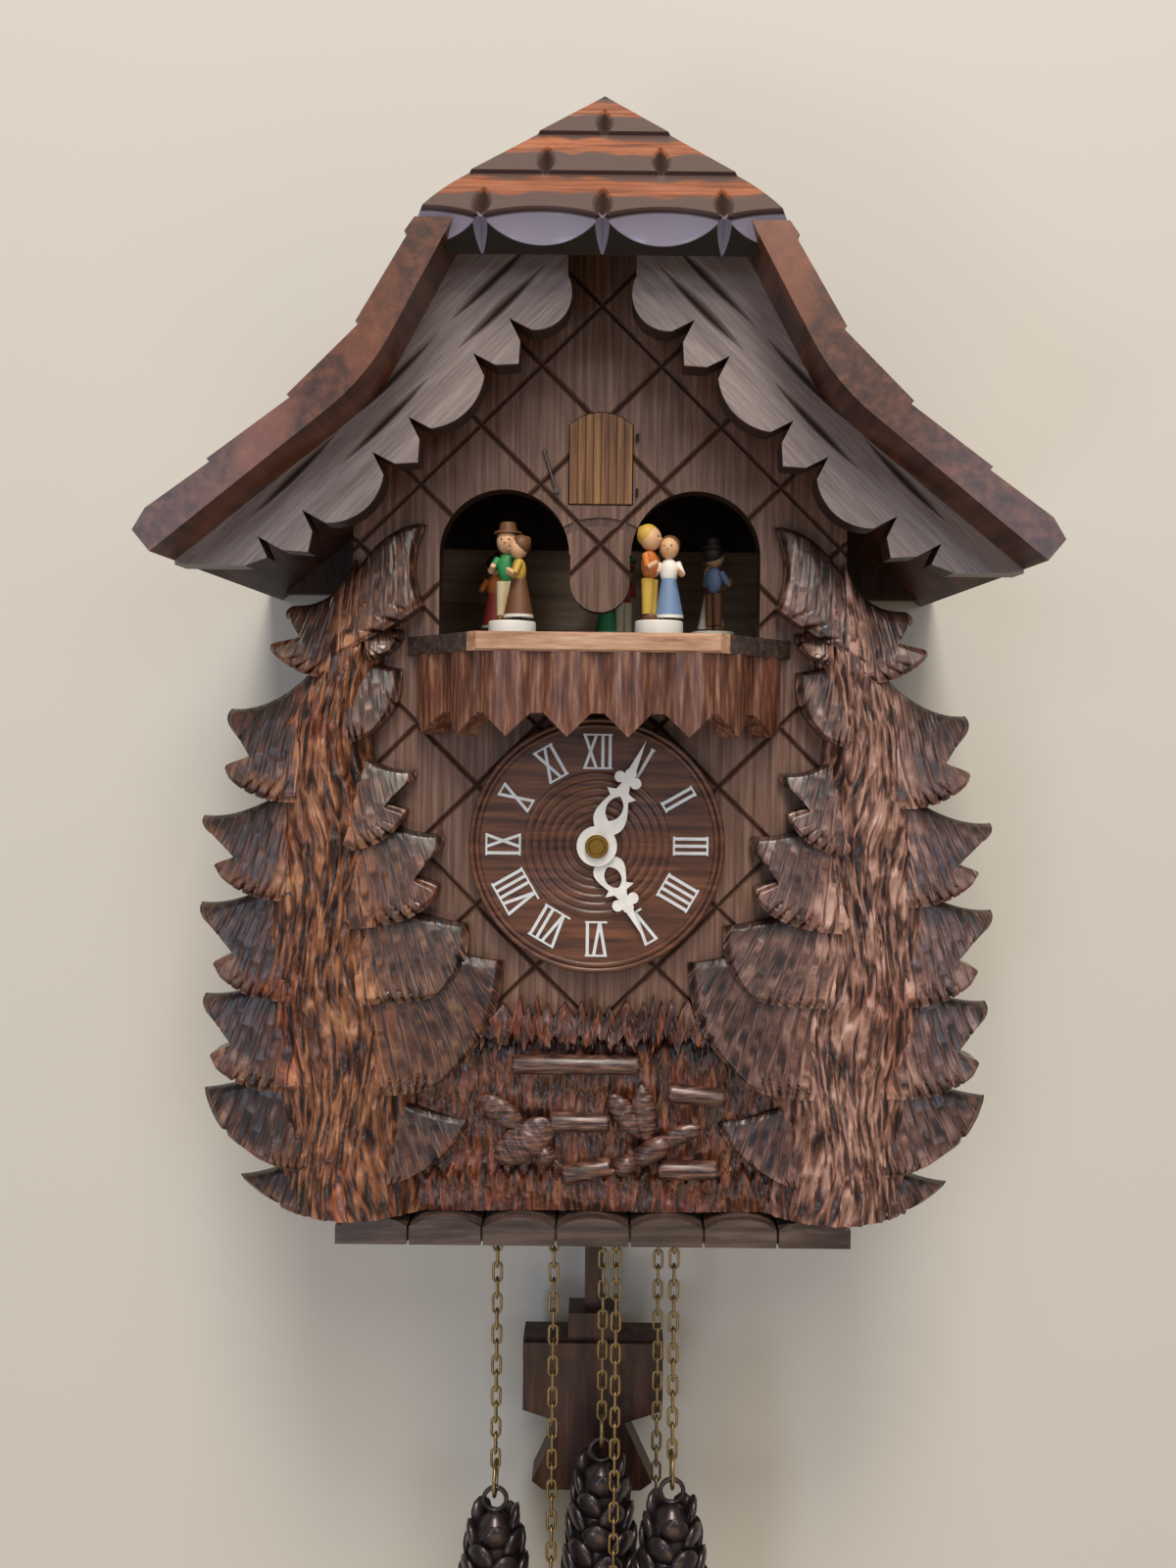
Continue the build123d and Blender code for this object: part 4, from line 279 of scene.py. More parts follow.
def carved_wood(name, bough, strand, glow):
    """Carved lacquered wood, from dark to light for smooth boughs and for the strands of a trunk.

    Strokes of 0.8 mm follow the needles and flames of 2 mm the strands, the height share paints shade into
    the cuts and under overhangs, and glow warms soft areas."""
    material, tree, shader = new_material(name)
    flow = add_node(tree, "Attribute", "Vector", attribute_name="flow")
    warmth = add_node(tree, "Attribute", "Fac", attribute_name="warmth")
    height = add_node(tree, "Attribute", "Fac", attribute_name="carving")
    near = add_node(tree, "Mapping", "Vector", {"Vector": flow, "Scale": (1250, 120, 1)})
    wide = add_node(tree, "Mapping", "Vector", {"Vector": flow, "Scale": (520, 90, 1)})
    strokes = add_node(tree, "TexNoise", "Fac",
                       {"Vector": near, "Scale": 1.0, "Detail": 4.0, "Distortion": 0.3})
    flames = add_node(tree, "TexNoise", "Fac",
                      {"Vector": wide, "Scale": 1.0, "Detail": 4.0, "Distortion": 0.9})
    places = (0.37, 0.47, 0.57, 0.70)
    smooth = add_node(tree, "ValToRGB", "Color", {"Fac": strokes}, stops=zip(places, bough))
    streaked = add_node(tree, "ValToRGB", "Color", {"Fac": flames}, stops=zip(places, strand))
    colour = add_node(tree, "Mix", MIXED, {FACTOR: warmth, UNDER: smooth, OVER: streaked},
                      data_type="RGBA")
    broad = add_node(tree, "TexNoise", "Fac",
                     {"Vector": place_of(tree, (60, 60, 26)), "Scale": 1.0, "Detail": 2.0})
    area = add_node(tree, "MapRange", "Result",
                    {"Value": broad, "From Min": 0.52, "From Max": 0.72, "To Max": 0.55})
    glowing = add_node(tree, "Mix", MIXED, {FACTOR: 1.0, UNDER: colour, OVER: glow},
                       data_type="RGBA", blend_type="OVERLAY")
    colour = add_node(tree, "Mix", MIXED, {FACTOR: area, UNDER: colour, OVER: glowing}, data_type="RGBA")
    # Painted shade: the carving share darkens the cuts, the skirts and the zones under overhangs
    shade = add_node(tree, "ValToRGB", "Color", {"Fac": height},
                     stops=((0.0, "#33261f"), (0.45, "#b3a69d"), (0.85, "#ffffff")))
    colour = add_node(tree, "Mix", MIXED, {FACTOR: 1.0, UNDER: colour, OVER: shade},
                      data_type="RGBA", blend_type="MULTIPLY")
    gloss = add_node(tree, "MapRange", "Result", {"Value": strokes, "To Min": 0.48, "To Max": 0.28})
    deep = add_node(tree, "Math", "Value", {0: flames, 1: warmth}, operation="MULTIPLY")
    strands = add_node(tree, "Bump", "Normal", {"Height": deep, "Strength": 0.6, "Distance": 1.6 * MM})
    relief = add_node(tree, "Bump", "Normal",
                      {"Height": strokes, "Normal": strands, "Strength": 0.4, "Distance": 0.6 * MM})
    set_inputs(tree, shader, {"Base Color": colour, "Roughness": gloss, "Normal": relief,
                              "Coat Weight": 0.3, "Coat Roughness": 0.2})
    return material


# Settings shown in the sidebar

def colour_setting(name, description, code):
    """Colour property with a hex code as its default."""
    return bpy.props.FloatVectorProperty(name=name, description=description, subtype="COLOR",
                                         default=linear(code)[:3])


class FinishSettings(bpy.types.PropertyGroup):
    """Colours of the plain finishes"""
    hands: colour_setting("Hands", "Plastic of the hands", "#e9e6df")
    numerals: colour_setting("Numerals", "Enamel of the numerals", "#d9dcdc")
    chains: colour_setting("Chains", "Brass of the chains", "#a08a60")
    cones: colour_setting("Cones", "Iron of the cone weights", "#4a4041")
    cuckoo: colour_setting("Cuckoo", "Paint of the cuckoo", "#7d6a52")


class CarvingSettings(bpy.types.PropertyGroup):
    """Sizes of the carvings"""
    gouge_depth: bpy.props.FloatProperty(
        name="Gouge depth", description="Depth of the needle cuts, in millimetres",
        default=1.0, min=0.0, max=3.0)
    bough_lift: bpy.props.FloatProperty(
        name="Bough lift", description="How far a bough's lower edge stands out, in millimetres",
        default=11.5, min=5.0, max=14.0)
    tooth_pitch: bpy.props.FloatProperty(
        name="Tooth pitch", description="Spacing of the cuts along a bough's edge, in millimetres",
        default=5.2, min=2.0, max=12.0)


class FigureSettings(bpy.types.PropertyGroup):
    """Numbers of figures and scales"""
    couples: bpy.props.IntProperty(
        name="Couples", description="Dancing couples on the turntable", default=5, min=1, max=5)
    scales: bpy.props.IntProperty(
        name="Cone scales", description="Scales on one cone weight", default=84, min=20, max=160)


class StageSettings(bpy.types.PropertyGroup):
    """Wall and camera"""
    wall: colour_setting("Wall", "Paint of the wall", "#cfcabf")
    eye_side: bpy.props.FloatProperty(
        name="Eye side", description="Camera to the right of the hanger hole", default=0.003, unit="LENGTH")
    eye_distance: bpy.props.FloatProperty(
        name="Eye distance", description="Camera to wall", default=0.473, unit="LENGTH")
    eye_height: bpy.props.FloatProperty(
        name="Eye height", description="Camera height over the hanger hole", default=-0.120, unit="LENGTH")
    roll: bpy.props.FloatProperty(
        name="Roll", description="Turn of the camera about its view", default=math.radians(0.6),
        subtype="ANGLE")


# Finishes

def paint(nodes, material):
    """Give CAD nodes a material."""
    for name in nodes:
        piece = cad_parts[name]
        piece.data.materials.clear()
        piece.data.materials.append(material)
        for polygon in piece.data.polygons:
            polygon.material_index = 0


class CLOCK_OT_finish_wood(bpy.types.Operator):
    """Stain and lacquer the case, roof, trim, dial and pendulum"""
    bl_idname = "clock.finish_wood"
    bl_label = "Finish the wood"

    def execute(self, context):
        # Roof boards: dark red-brown lacquer with a clear glossy coat, fibres along the depth
        roof = wood("roof_lacquered_wood", "#2e1710", "#54301f", "#7d4a30", (240, 22, 240), 0.42, coat=0.3,
                    patches="#8e5236")
        paint(("roof_left", "roof_right"), roof)
        # Hip board: the same lacquer, warmer, fibres across the front, with painted shade in its cuts and on
        # its lower end, a darker wavy band at both ends of every course, and polished hollows at the rim
        # whose paler mauve-grey is partly painted sheen
        hip = wood("hip_lacquered_wood", "#66341e", "#9c5734", "#b9734a", (40, 420, 420), 0.46,
                   bands=(HIP_UP, HIP_COURSE, "#533e38"))
        hollow_rim(hip, HIP_UP, HIP_FOOT, HIP_COURSE, SHINGLE_STEP)
        paint(("roof_hip",), hip)
        # Verge boards: greyer brown stain with long fibres that follow the slope, with painted shade in the
        # cuts
        for side, turn in (("left", 45), ("right", -45)):
            verge = wood(f"verge_stained_wood_{side}", "#786863", "#8b7b76", "#9e8f89", (70, 1200, 1200),
                         0.46, coat=0.08, turn=turn, groove=(VERGE_FACE - 0.2, VERGE_FACE - 1.4, "#33211a"))
            paint((f"verge_{side}",), verge)
        # Front panel: satin grey-brown stain with fine upright pores and painted shade in the lattice
        # grooves
        panel = wood("panel_stained_wood", "#4a3024", "#71503f", "#91705c", (620, 620, 22), 0.48, coat=0.06,
                     groove=(PANEL_FACE - 0.1, PANEL_FACE - 1.1, "#38231a"))
        paint(("front_panel",), panel)
        # Case: dull dark brown stain, fibres upright
        case = wood("case_stained_wood", "#2c1a12", "#432b1f", "#5a3d2e", (420, 420, 26), 0.5)
        paint(("left_wall", "right_wall", "back_board", "back_door", "bottom_board"), case)
        # Stage board: plain unstained wood, matt and pale
        stage = wood("stage_bare_wood", "#8d6f50", "#b08e6a", "#c9a984", (30, 300, 300), 0.6)
        paint(("stage_board",), stage)
        # Pickets: red-brown open-pored wood, lightly lacquered
        picket = wood("picket_open_pored_wood", "#3a1b10", "#6e412d", "#a37b63", (640, 640, 60), 0.42,
                      coat=0.15)
        paint(("picket_valance",), picket)
        # Sill, base trim and turntable: dull greyish brown, fibres across
        sill = wood("sill_stained_wood", "#2a1e1b", "#46362f", "#64524b", (40, 420, 420), 0.46, coat=0.08)
        paint(("balcony_sill", "base_trim", "carousel_disc"), sill)
        # Balcony lip: pale wood, worn varnish
        lip = wood("lip_pale_wood", "#8f6345", "#c09270", "#dbb798", (60, 520, 520), 0.52)
        paint(("balcony_lip",), lip)
        # Cuckoo's door and perch: light brown, with painted shade in the flutes
        door = wood("door_fluted_wood", "#5a3717", "#8d5d2f", "#b07f47", (480, 480, 30), 0.5,
                    groove=(PANEL_FACE + 0.4, PANEL_FACE + 0.1, "#553416"))
        paint(("bird_door", "bird_arm", "bird_guide"), door)
        # Dial: turned wood with a satin lacquer, fibres across
        dial = wood("dial_turned_wood", "#341c13", "#5d3724", "#7e5136", (30, 380, 380), 0.4, coat=0.15)
        paint(("dial",), dial)
        # Pendulum: nearly black brown stain, little gloss
        bob = wood("pendulum_dark_wood", "#1d0f0a", "#3c2016", "#5c3626", (300, 300, 30), 0.5, coat=0.04)
        paint(("pendulum_rod", "pendulum_bob"), bob)
        return {"FINISHED"}


class CLOCK_OT_finish_fittings(bpy.types.Operator):
    """Finish the hands, numerals, metal work, bellows and cuckoo"""
    bl_idname = "clock.finish_fittings"
    bl_label = "Finish the fittings"

    def execute(self, context):
        colours = context.scene.clock_finish
        # Hands: moulded off-white plastic, soft gloss; numerals: printed enamel, duller
        paint(("hour_hand", "minute_hand"), plain("hand_white_plastic", (*colours.hands, 1.0), 0.38))
        paint(("dial_numerals",), plain("numeral_printed_enamel", (*colours.numerals, 1.0), 0.5))
        # Movement: polished brass; chains: brass that has gone dull and uneven
        brass = plain("polished_brass", "#c49a4c", 0.3, metallic=1.0)
        paint(("hand_nut", "centre_arbor", "hour_wheel", "minute_wheel", "movement_frame", "escape_wheel",
               "going_sprocket", "strike_sprocket", "music_sprocket", "carousel_shaft", "music_cylinder",
               "music_frame"), brass)
        chain = plain("antique_brass", (*colours.chains, 1.0), 0.36, metallic=1.0, uneven=0.6)
        paint([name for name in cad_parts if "_chain_" in name], chain)
        # Wires: drawn steel, plain and grey, or blackened at the door's hinges
        steel = plain("plain_steel_wire", "#6e6962", 0.35, metallic=1.0)
        paint(("door_latch", "verge_anchor", "pendulum_leader", "gong_coil", "carousel_bridge"), steel)
        paint(("hinge_wires",), plain("blackened_steel_wire", "#3b342d", 0.4, metallic=1.0))
        # Bellows: matt yellowed paper; cuckoo: brown paint with a soft gloss
        paint(("bellows",), plain("bellows_paper", "#b8ac97", 0.8))
        paint(("cuckoo_bird",), plain("bird_painted_wood", (*colours.cuckoo, 1.0), 0.5))
        return {"FINISHED"}


# Carving

# Columns and rows of a carved patch, fine enough for the gouge cuts
BOUGH_GRID = (76, 56)
TRUNK_GRID = (80, 240)
MEADOW_GRID = (210, 120)


def carving_layers(bm):
    """Layers for the brightness share that paints shade into the carving, the warmth and the place along the
    needles.
    """
    return (bm.verts.layers.float.new("carving"), bm.verts.layers.float.new("warmth"),
            bm.verts.layers.float_vector.new("flow"))


def mark(verts, layers, tone, warm):
    """Give plain solid pieces of a carving their paint values."""
    for vert in verts:
        vert[layers[0]] = tone
        vert[layers[1]] = warm
        vert[layers[2]] = Vector((vert.co.z, vert.co.x, vert.co.y))


def scoop(across, along, width, length, seed):
    """Hollow of staggered gouge cuts, 0 on the ridges between them and up to 1 in their middles."""
    row = math.floor(across / width)
    ds = (across / width - row - 0.5) * 2
    shift = along / length + chance(row, seed)
    cell = math.floor(shift)
    dt = (shift - cell - 0.5) * 2
    return (0.45 + 0.55 * chance(row, cell, seed)) * (1 - ds * ds) * (1 - dt ** 4)


def relief_patch(bm, layers, grid, shape):
    """Closed grid patch of a carving with its back on the panel.

    shape(u, v) gives x, z and depth in millimetres, the paint's brightness share, low where shade is
    painted, and warmth, and the place across and along the needles in millimetres."""
    made = bmesh.ops.create_grid(bm, x_segments=grid[0], y_segments=grid[1], size=0.5)["verts"]
    faces = list({face for vert in made for face in vert.link_faces})
    for vert in made:
        x, z, depth, tone, warm, across, along = shape(vert.co.x + 0.5, vert.co.y + 0.5)
        vert.co = at(x, depth, z)
        vert[layers[0]] = tone
        vert[layers[1]] = warm
        vert[layers[2]] = Vector((across, along, 0.0)) * MM
    rim = [edge for edge in {e for f in faces for e in f.edges} if edge.is_boundary]
    skirt = bmesh.ops.extrude_edge_only(bm, edges=rim)["geom"]
    for vert in skirt:
        if isinstance(vert, bmesh.types.BMVert):
            vert.co.y = -PANEL_FACE * MM
            # Painted shade on the skirt that drops back to the panel
            vert[layers[0]] = 0.1
    back = [edge for edge in skirt if isinstance(edge, bmesh.types.BMEdge) and edge.is_boundary]
    bmesh.ops.contextual_create(bm, geom=back)


# Firs

TRUNK_HEAD = -84.0
# Line of the trunk and upper and lower tip of each bough: distance from the clock's middle and height
TRUNK_LINE = ((73.0, -80.0), (86.0, -122.0), (88.0, -190.0), (81.0, -240.0), (77.0, CARVING_FOOT))
OUTER_BOUGHS = (((99.0, -84.0), (104.4, -98.5)), ((118.5, -117.5), (118.0, -138.0)),
                ((127.0, -152.0), (120.5, -169.0)), ((127.5, -180.0), (120.5, -200.5)),
                ((126.0, -209.5), (121.4, -229.5)), ((126.0, -240.0), (104.6, -260.0)),
                ((114.0, -268.0), (84.0, -276.5)))
INNER_BOUGHS = (((63.0, -91.5), (66.0, -98.5)), ((63.5, -104.0), (72.0, -125.0)),
                ((59.0, -136.5), (61.0, -151.0)), ((50.0, -157.0), (50.5, -175.5)),
                ((41.0, -186.0), (49.4, -207.0)), ((29.6, -198.0), (50.0, -236.0)),
                ((39.0, -249.0), (59.5, -265.6)))
CROWN = ((56.0, -57.0), (56.5, -84.0))


def trunk_x(z):
    """Middle of a fir's trunk at a height."""
    for (x0, z0), (x1, z1) in zip(TRUNK_LINE, TRUNK_LINE[1:]):
        if z >= z1:
            return blend_to(x0, x1, ease(z0, z1, z))
    return TRUNK_LINE[-1][0]


def fir_bough(bm, layers, tip, low, seed, settings, side, crown=False):
    """Bough from the trunk to its upper and lower tip; its lower edge stands out over the bough below."""
    middle = trunk_x((tip[1] + low[1]) / 2)
    out = 1.0 if tip[0] > middle else -1.0
    drop = tip[1] - low[1]
    two_tips = abs(tip[0] - low[0]) < 8.0 and drop > 12.0 and not crown
    root_x = middle + out * 3.0
    if crown:
        root_top, top_bend = (86.0, -92.0), (75.0, -58.0)
        root_low, low_bend = (84.0, -101.0), (64.0, -91.0)
    elif two_tips:
        root_top, top_bend = (root_x, tip[1] + 15.0), (tip[0] - out * 15.0, tip[1] - 1.5)
        root_low, low_bend = (root_x, low[1] - 8.0), (low[0] - 11.0, low[1] - 12.0)
        if out < 0:
            root_low, low_bend = (root_x, low[1] - 11.0), (low[0] + 6.0, low[1] - 12.0)
    else:
        root_top, top_bend = (root_x, tip[1] + 14.0), (tip[0] - out * 14.0, tip[1] + 1.0)
        root_low, low_bend = (root_x, low[1] - 3.0), (low[0] - out * 6.0, low[1] - 4.0)
    fan = (middle - out * 4.0, tip[1] + 80.0)
    cuts = max(3, round((abs(tip[0] - middle) + 8.0) / settings.tooth_pitch))
    nicks = max(2, round(drop / settings.tooth_pitch))
    # Painted shade on the upper flank of a bough, strongest on the left fir's outer boughs
    painted_side_shade = 0.55 if side < 0 < out else 0.2

    def shape(u, v):
        # Outline: u runs from the trunk to the tips and v from the upper to the lower edge
        upper = curve_point(root_top, top_bend, tip, u)
        lower = curve_point(root_low, low_bend, low, u)
        x = blend_to(upper[0], lower[0], v)
        z = blend_to(upper[1], lower[1], v)
        swell = math.sin(math.pi * v) * u ** 3
        if two_tips:
            if v < 0.26:
                bite = -0.10 * math.sin(math.pi * v / 0.26)
            elif v < 0.70:
                bite = ((v - 0.26) / 0.44) ** 1.1
            else:
                bite = 1 - ease(0.70, 0.90, v)
            x -= out * 8.0 * bite * u ** 3
        elif crown:
            x += 3.0 * swell
        else:
            x += out * 0.15 * drop * swell
            z -= 0.10 * abs(tip[0] - low[0]) * swell
        # Slits along the lower edge and snips between the tips
        slit = max(0.0, 1 - part_of(u * cuts + (1 - v) * 4.6 + 0.3 * chance(seed, 4)) / 0.3)
        slit *= ease(0.74, 1.0, v) * ease(0.2, 0.36, u) * (1 - ease(0.68, 0.82, u))
        snip = 0.0 if crown else max(0.0, 1 - part_of(v * nicks + (1 - u) * 5.0) / 0.25)
        snip *= ease(0.84, 1.0, u) * ease(0.28, 0.36, v) * (1 - ease(0.62, 0.7, v))
        z += 1.3 * slit * v ** 10
        x -= out * 0.9 * snip * u ** 10
        # Needles: gouge cuts that fan out from a point over the bough, calmer towards the tips
        turn = math.atan2(out * (x - fan[0]), fan[1] - z)
        run = math.hypot(x - fan[0], z - fan[1])
        across = turn * 95.0 + 0.9 * math.sin(run * 0.13 + seed) + 0.7 * math.sin(turn * 160.0 + seed)
        needle = scoop(across, run, 2.3, 11.0, seed)
        calm = 1 - 0.7 * ease(0.7, 0.95, u) * (0.3 if crown else 1.0)
        # Height over the panel, rounded off at the edges
        rise = blend_to(5.0, settings.bough_lift, v ** 0.8)
        rise += 1.2 * (1 - u) ** 2 - 2.2 * u ** 4 * (1 - 0.5 * v)
        rise -= 1.2 * ease(0.92, 1.0, v) + 1.4 * ease(0.92, 1.0, u) + 0.8 * (1 - ease(0.0, 0.06, v))
        rise -= settings.gouge_depth * 0.4 * needle * calm + 2.1 * slit + 1.5 * snip
        # Paint: painted shade in the cuts, under the bough above and on the upper flank of every bough,
        # strongest on the left fir's outer boughs; warm by the trunk and along the lower edge
        tone = (0.5 + 0.5 * ease(0.0, 0.3, v)) * (1 - 0.15 * calm * needle) * (1 - 0.85 * max(slit, snip))
        tone *= 1 - painted_side_shade * ease(0.12, 0.35, u) * (1 - ease(0.7, 0.92, u)) * (1 - ease(0.55, 0.9, v))
        warm = 0.9 * (1 - ease(0.12, 0.5, u)) + 0.25 * ease(0.6, 0.95, v)
        return side * x, z, PANEL_FACE + max(rise, 1.0), tone, min(1.0, warm), across + 40 * seed, run

    relief_patch(bm, layers, BOUGH_GRID, shape)


def fir_trunk(bm, layers, settings, side):
    """Middle of a fir, cut in short wavy strands; its sides run out under the boughs."""
    def shape(u, v):
        z = blend_to(TRUNK_HEAD, CARVING_FOOT, v)
        half = blend_to(11.0, 24.0, ease(0.0, 0.8, v))
        s = (u - 0.5) * 2
        x = trunk_x(z) + s * half
        sway = x + 2.0 * math.sin(z * 0.09 + x * 0.12)
        cut = scoop(sway, -z, 3.3, 15.0, 5 + side)
        fine = scoop(sway + 0.8, -z, 1.6, 8.0, 8 + side)
        rise = blend_to(10.0, 15.0, ease(TRUNK_HEAD, -125.0, z)) - 12.0 * s * s
        rise -= settings.gouge_depth * (1.3 * cut + 0.5 * fine)
        # Painted shade towards the sides, where the trunk runs under the boughs, and in the cuts
        tone = (1 - 0.35 * abs(s)) * (1 - 0.45 * cut - 0.2 * fine)
        return side * x, z, PANEL_FACE + max(rise, 1.0), tone, 1.0, sway, -z

    relief_patch(bm, layers, TRUNK_GRID, shape)


class CLOCK_OT_carve_firs(bpy.types.Operator):
    """Carve the two firs bough by bough"""
    bl_idname = "clock.carve_firs"
    bl_label = "Carve the firs"

    def execute(self, context):
        settings = context.scene.clock_carving
        # Firs: glossy brown lacquer, painted near black as shade in the cuts; the left one worn to orange,
        # the right to pink
        left = carved_wood("fir_carved_wood_left", ("#180b07", "#3f261c", "#60402f", "#86654f"),
                           ("#22110a", "#5c3521", "#98623f", "#bd8a63"), "#b4692c")
        right = carved_wood("fir_carved_wood_right", ("#1a0d09", "#42281f", "#65463a", "#8c6d60"),
                            ("#2a1710", "#6b4637", "#ad8270", "#d0ab99"), "#96582f")
        for side, name, material in ((-1, "left_tree", left), (1, "right_tree", right)):
            bm = bmesh.new()
            layers = carving_layers(bm)
            fir_trunk(bm, layers, settings, side)
            for k, (tip, low) in enumerate((*OUTER_BOUGHS, *INNER_BOUGHS)):
                fir_bough(bm, layers, tip, low, 11 + 2 * k + side, settings, side)
            fir_bough(bm, layers, *CROWN, 57 + side, settings, side, crown=True)
            finish_mesh("carved_" + name, bm, material, "case", name, angle=55)
        return {"FINISHED"}


# Meadow

MEADOW_HALF = 62.0
BLADE_DIP = -216.0      # height of the dips between the blades along the upper edge
TURF_EDGE = -224.0      # mean height of the overhanging turf's lower edge
TUFT_DIP = -268.0       # height of the dips between the tufts at the foot
RAIL_RADIUS = 3.2
# Rails of the fence: middle, length and tilt in degrees
RAILS = ((-6.0, -230.5, 41.0, 0), (-4.7, -249.0, 19.4, 0), (32.7, -240.0, 18.5, -5),
         (-2.0, -264.5, 16.0, 11), (30.0, -264.0, 19.4, 0))
# Leaves of the two birds: start, way in degrees, length, width, height over the panel, half the thickness
# and number of ridges
MEADOW_BIRDS = (
    (-13.0, -248.5, 214, 22, 12, 5.6, 2.2, 6),      # left bird: fanned wing
    (-23.0, -250.0, 146, 16, 8, 5.2, 1.9, 4),       # raised wing
    (-25.0, -251.0, -36, 13, 8, 6.0, 2.8, 0),       # body
    (-18.5, -257.0, -30, 7, 6.5, 6.4, 2.9, 0),      # head
    (-12.8, -260.2, -35, 3.5, 1.6, 6.4, 0.9, 0),    # beak
    (17.0, -254.0, 97, 18, 7.5, 5.6, 2.0, 6),       # right bird: right wing
    (15.5, -253.0, 128, 17, 7.5, 5.2, 1.9, 5),      # left wing
    (12.5, -261.0, 32, 14, 7.5, 6.0, 2.9, 0),       # body
    (21.0, -254.5, 20, 14, 6.0, 5.8, 1.9, 3),       # tail
    (6.5, -263.5, 25, 8, 6.8, 6.3, 2.9, 0),         # head
    (7.4, -263.0, 205, 3.5, 1.6, 6.3, 0.9, 0),      # beak
)


def meadow_ground(bm, layers, settings):
    """Grass with blades along its top, an overhanging turf and low tufts at the foot."""
    def shape(u, v):
        x = blend_to(-MEADOW_HALF, MEADOW_HALF, u)
        saw = x / 4.0 + 0.4 * math.sin(x * 0.31)
        blade = 1 - abs(part_of(saw) * 2 - 1)
        top = BLADE_DIP + blade * (4.0 + 5.0 * chance(math.floor(saw), 2))
        z = blend_to(CARVING_FOOT, top, v)
        cut = scoop(x + 0.8 * math.sin(z * 0.3), z, 1.9, 9.0, 23)
        hang = TURF_EDGE + 1.6 * math.sin(x * 0.9) + 1.2 * math.sin(x * 2.3)
        depth = 2.4 + 1.36 * (1 - ease(-212.0, hang, z))
        if z > hang:
            depth += 3.0 * ease(-209.0, hang, z)
        tuft = TUFT_DIP + 5.0 * (1 - abs(part_of(x / 5.2 + 0.3) * 2 - 1))
        if z < tuft:
            depth += 1.9
        depth += 0.5 * math.sin(z * 0.5 + x * 0.1) - settings.gouge_depth * 0.9 * cut
        # Painted shadow in a band under the overhanging turf, and painted shade in the cuts
        tone = (0.95 if z > hang or z < hang - 4.0 else 0.35) * (1 - 0.5 * cut)
        return x, z, PANEL_FACE + max(depth, 0.6), tone, 0.85, x, z

    relief_patch(bm, layers, MEADOW_GRID, shape)


def meadow_rail(bm, layers, x, z, length, tilt):
    """Round rail with softened ends, half sunk in the grass."""
    spot = Matrix.Translation(at(x, PANEL_FACE + 3.9, z)) @ Matrix.Rotation(-math.radians(tilt), 4, "Y")
    made = bmesh.ops.create_cone(bm, cap_ends=True, segments=28, radius1=RAIL_RADIUS * MM,
                                 radius2=(RAIL_RADIUS - 0.2) * MM, depth=length * MM,
                                 matrix=spot @ Matrix.Rotation(math.pi / 2, 4, "Y"))["verts"]
    mark(made, layers, 0.9, 0.1)
    bmesh.ops.bevel(bm, geom=sharp_edges(made), offset=1.2 * MM, segments=3, profile=0.5, affect="EDGES",
                    material=-1)


def bird_leaf(bm, layers, x, z, way, length, width, rise, thick, ridges):
    """Rounded leaf of a carved bird, ridged across like feathers."""
    spot = Matrix.Translation(at(x, PANEL_FACE + rise, z)) @ Matrix.Rotation(-math.radians(way), 4, "Y")
    spot = (spot @ Matrix.Translation((length / 2 * MM, 0, 0))
            @ Matrix.Diagonal((length / 2, thick, width / 2, 1)))
    made = bmesh.ops.create_uvsphere(bm, u_segments=20, v_segments=8 + 8 * ridges, radius=1.0)["verts"]
    for vert in made:
        swell = 1 + 0.12 * math.sin(vert.co.z * math.pi * ridges)
        vert.co = spot @ (Vector((vert.co.z, vert.co.x * swell, vert.co.y)) * MM)
    mark(made, layers, 0.95, 0.2)


class CLOCK_OT_carve_meadow(bpy.types.Operator):
    """Carve the meadow with its grass, rails and birds"""
    bl_idname = "clock.carve_meadow"
    bl_label = "Carve the meadow"

    def execute(self, context):
        # Meadow: the firs' carved wood, redder and a little darker
        material = carved_wood("meadow_carved_wood", ("#1c0f0a", "#40281f", "#64443a", "#8a6a60"),
                               ("#1f100a", "#482616", "#743f24", "#955f3e"), "#b0602a")
        bm = bmesh.new()
        layers = carving_layers(bm)
        meadow_ground(bm, layers, context.scene.clock_carving)
        for rail in RAILS:
            meadow_rail(bm, layers, *rail)
        finish_mesh("carved_meadow", bm, material, "case", "meadow_relief", angle=50)
        bm = bmesh.new()
        layers = carving_layers(bm)
        for leaf in MEADOW_BIRDS:
            bird_leaf(bm, layers, *leaf)
        finish_mesh("carved_meadow_birds", bm, material, "case", "carved_birds", angle=60)
        return {"FINISHED"}


# Weights

LOOP_RADIUS = 4.0
LOOP_WIRE = 0.8
GOLDEN_ANGLE = math.radians(137.508)    # turn from one scale of a fir cone to the next
CORE_SHARE = 0.86                       # radius of the core under the scales, as a share of the girth


def cone_girth(t, radius):
    """Radius of a cone weight at a share t of its height from the top."""
    return radius * 0.93 * math.sin(math.pi * (0.1 + 0.86 * t)) ** 0.6


def cone_loop(bm, x, y, z):
    """Wire loop for the chain's hook."""
    wire = bmesh.ops.create_circle(bm, segments=12, radius=LOOP_WIRE * MM,
                                   matrix=Matrix.Translation((x + LOOP_RADIUS * MM, y, z)))["verts"]
    bmesh.ops.spin(bm, geom=wire + list({e for v in wire for e in v.link_edges}), cent=(x, y, z),
                   axis=(0, 1, 0), angle=math.tau, steps=40, use_merge=True)


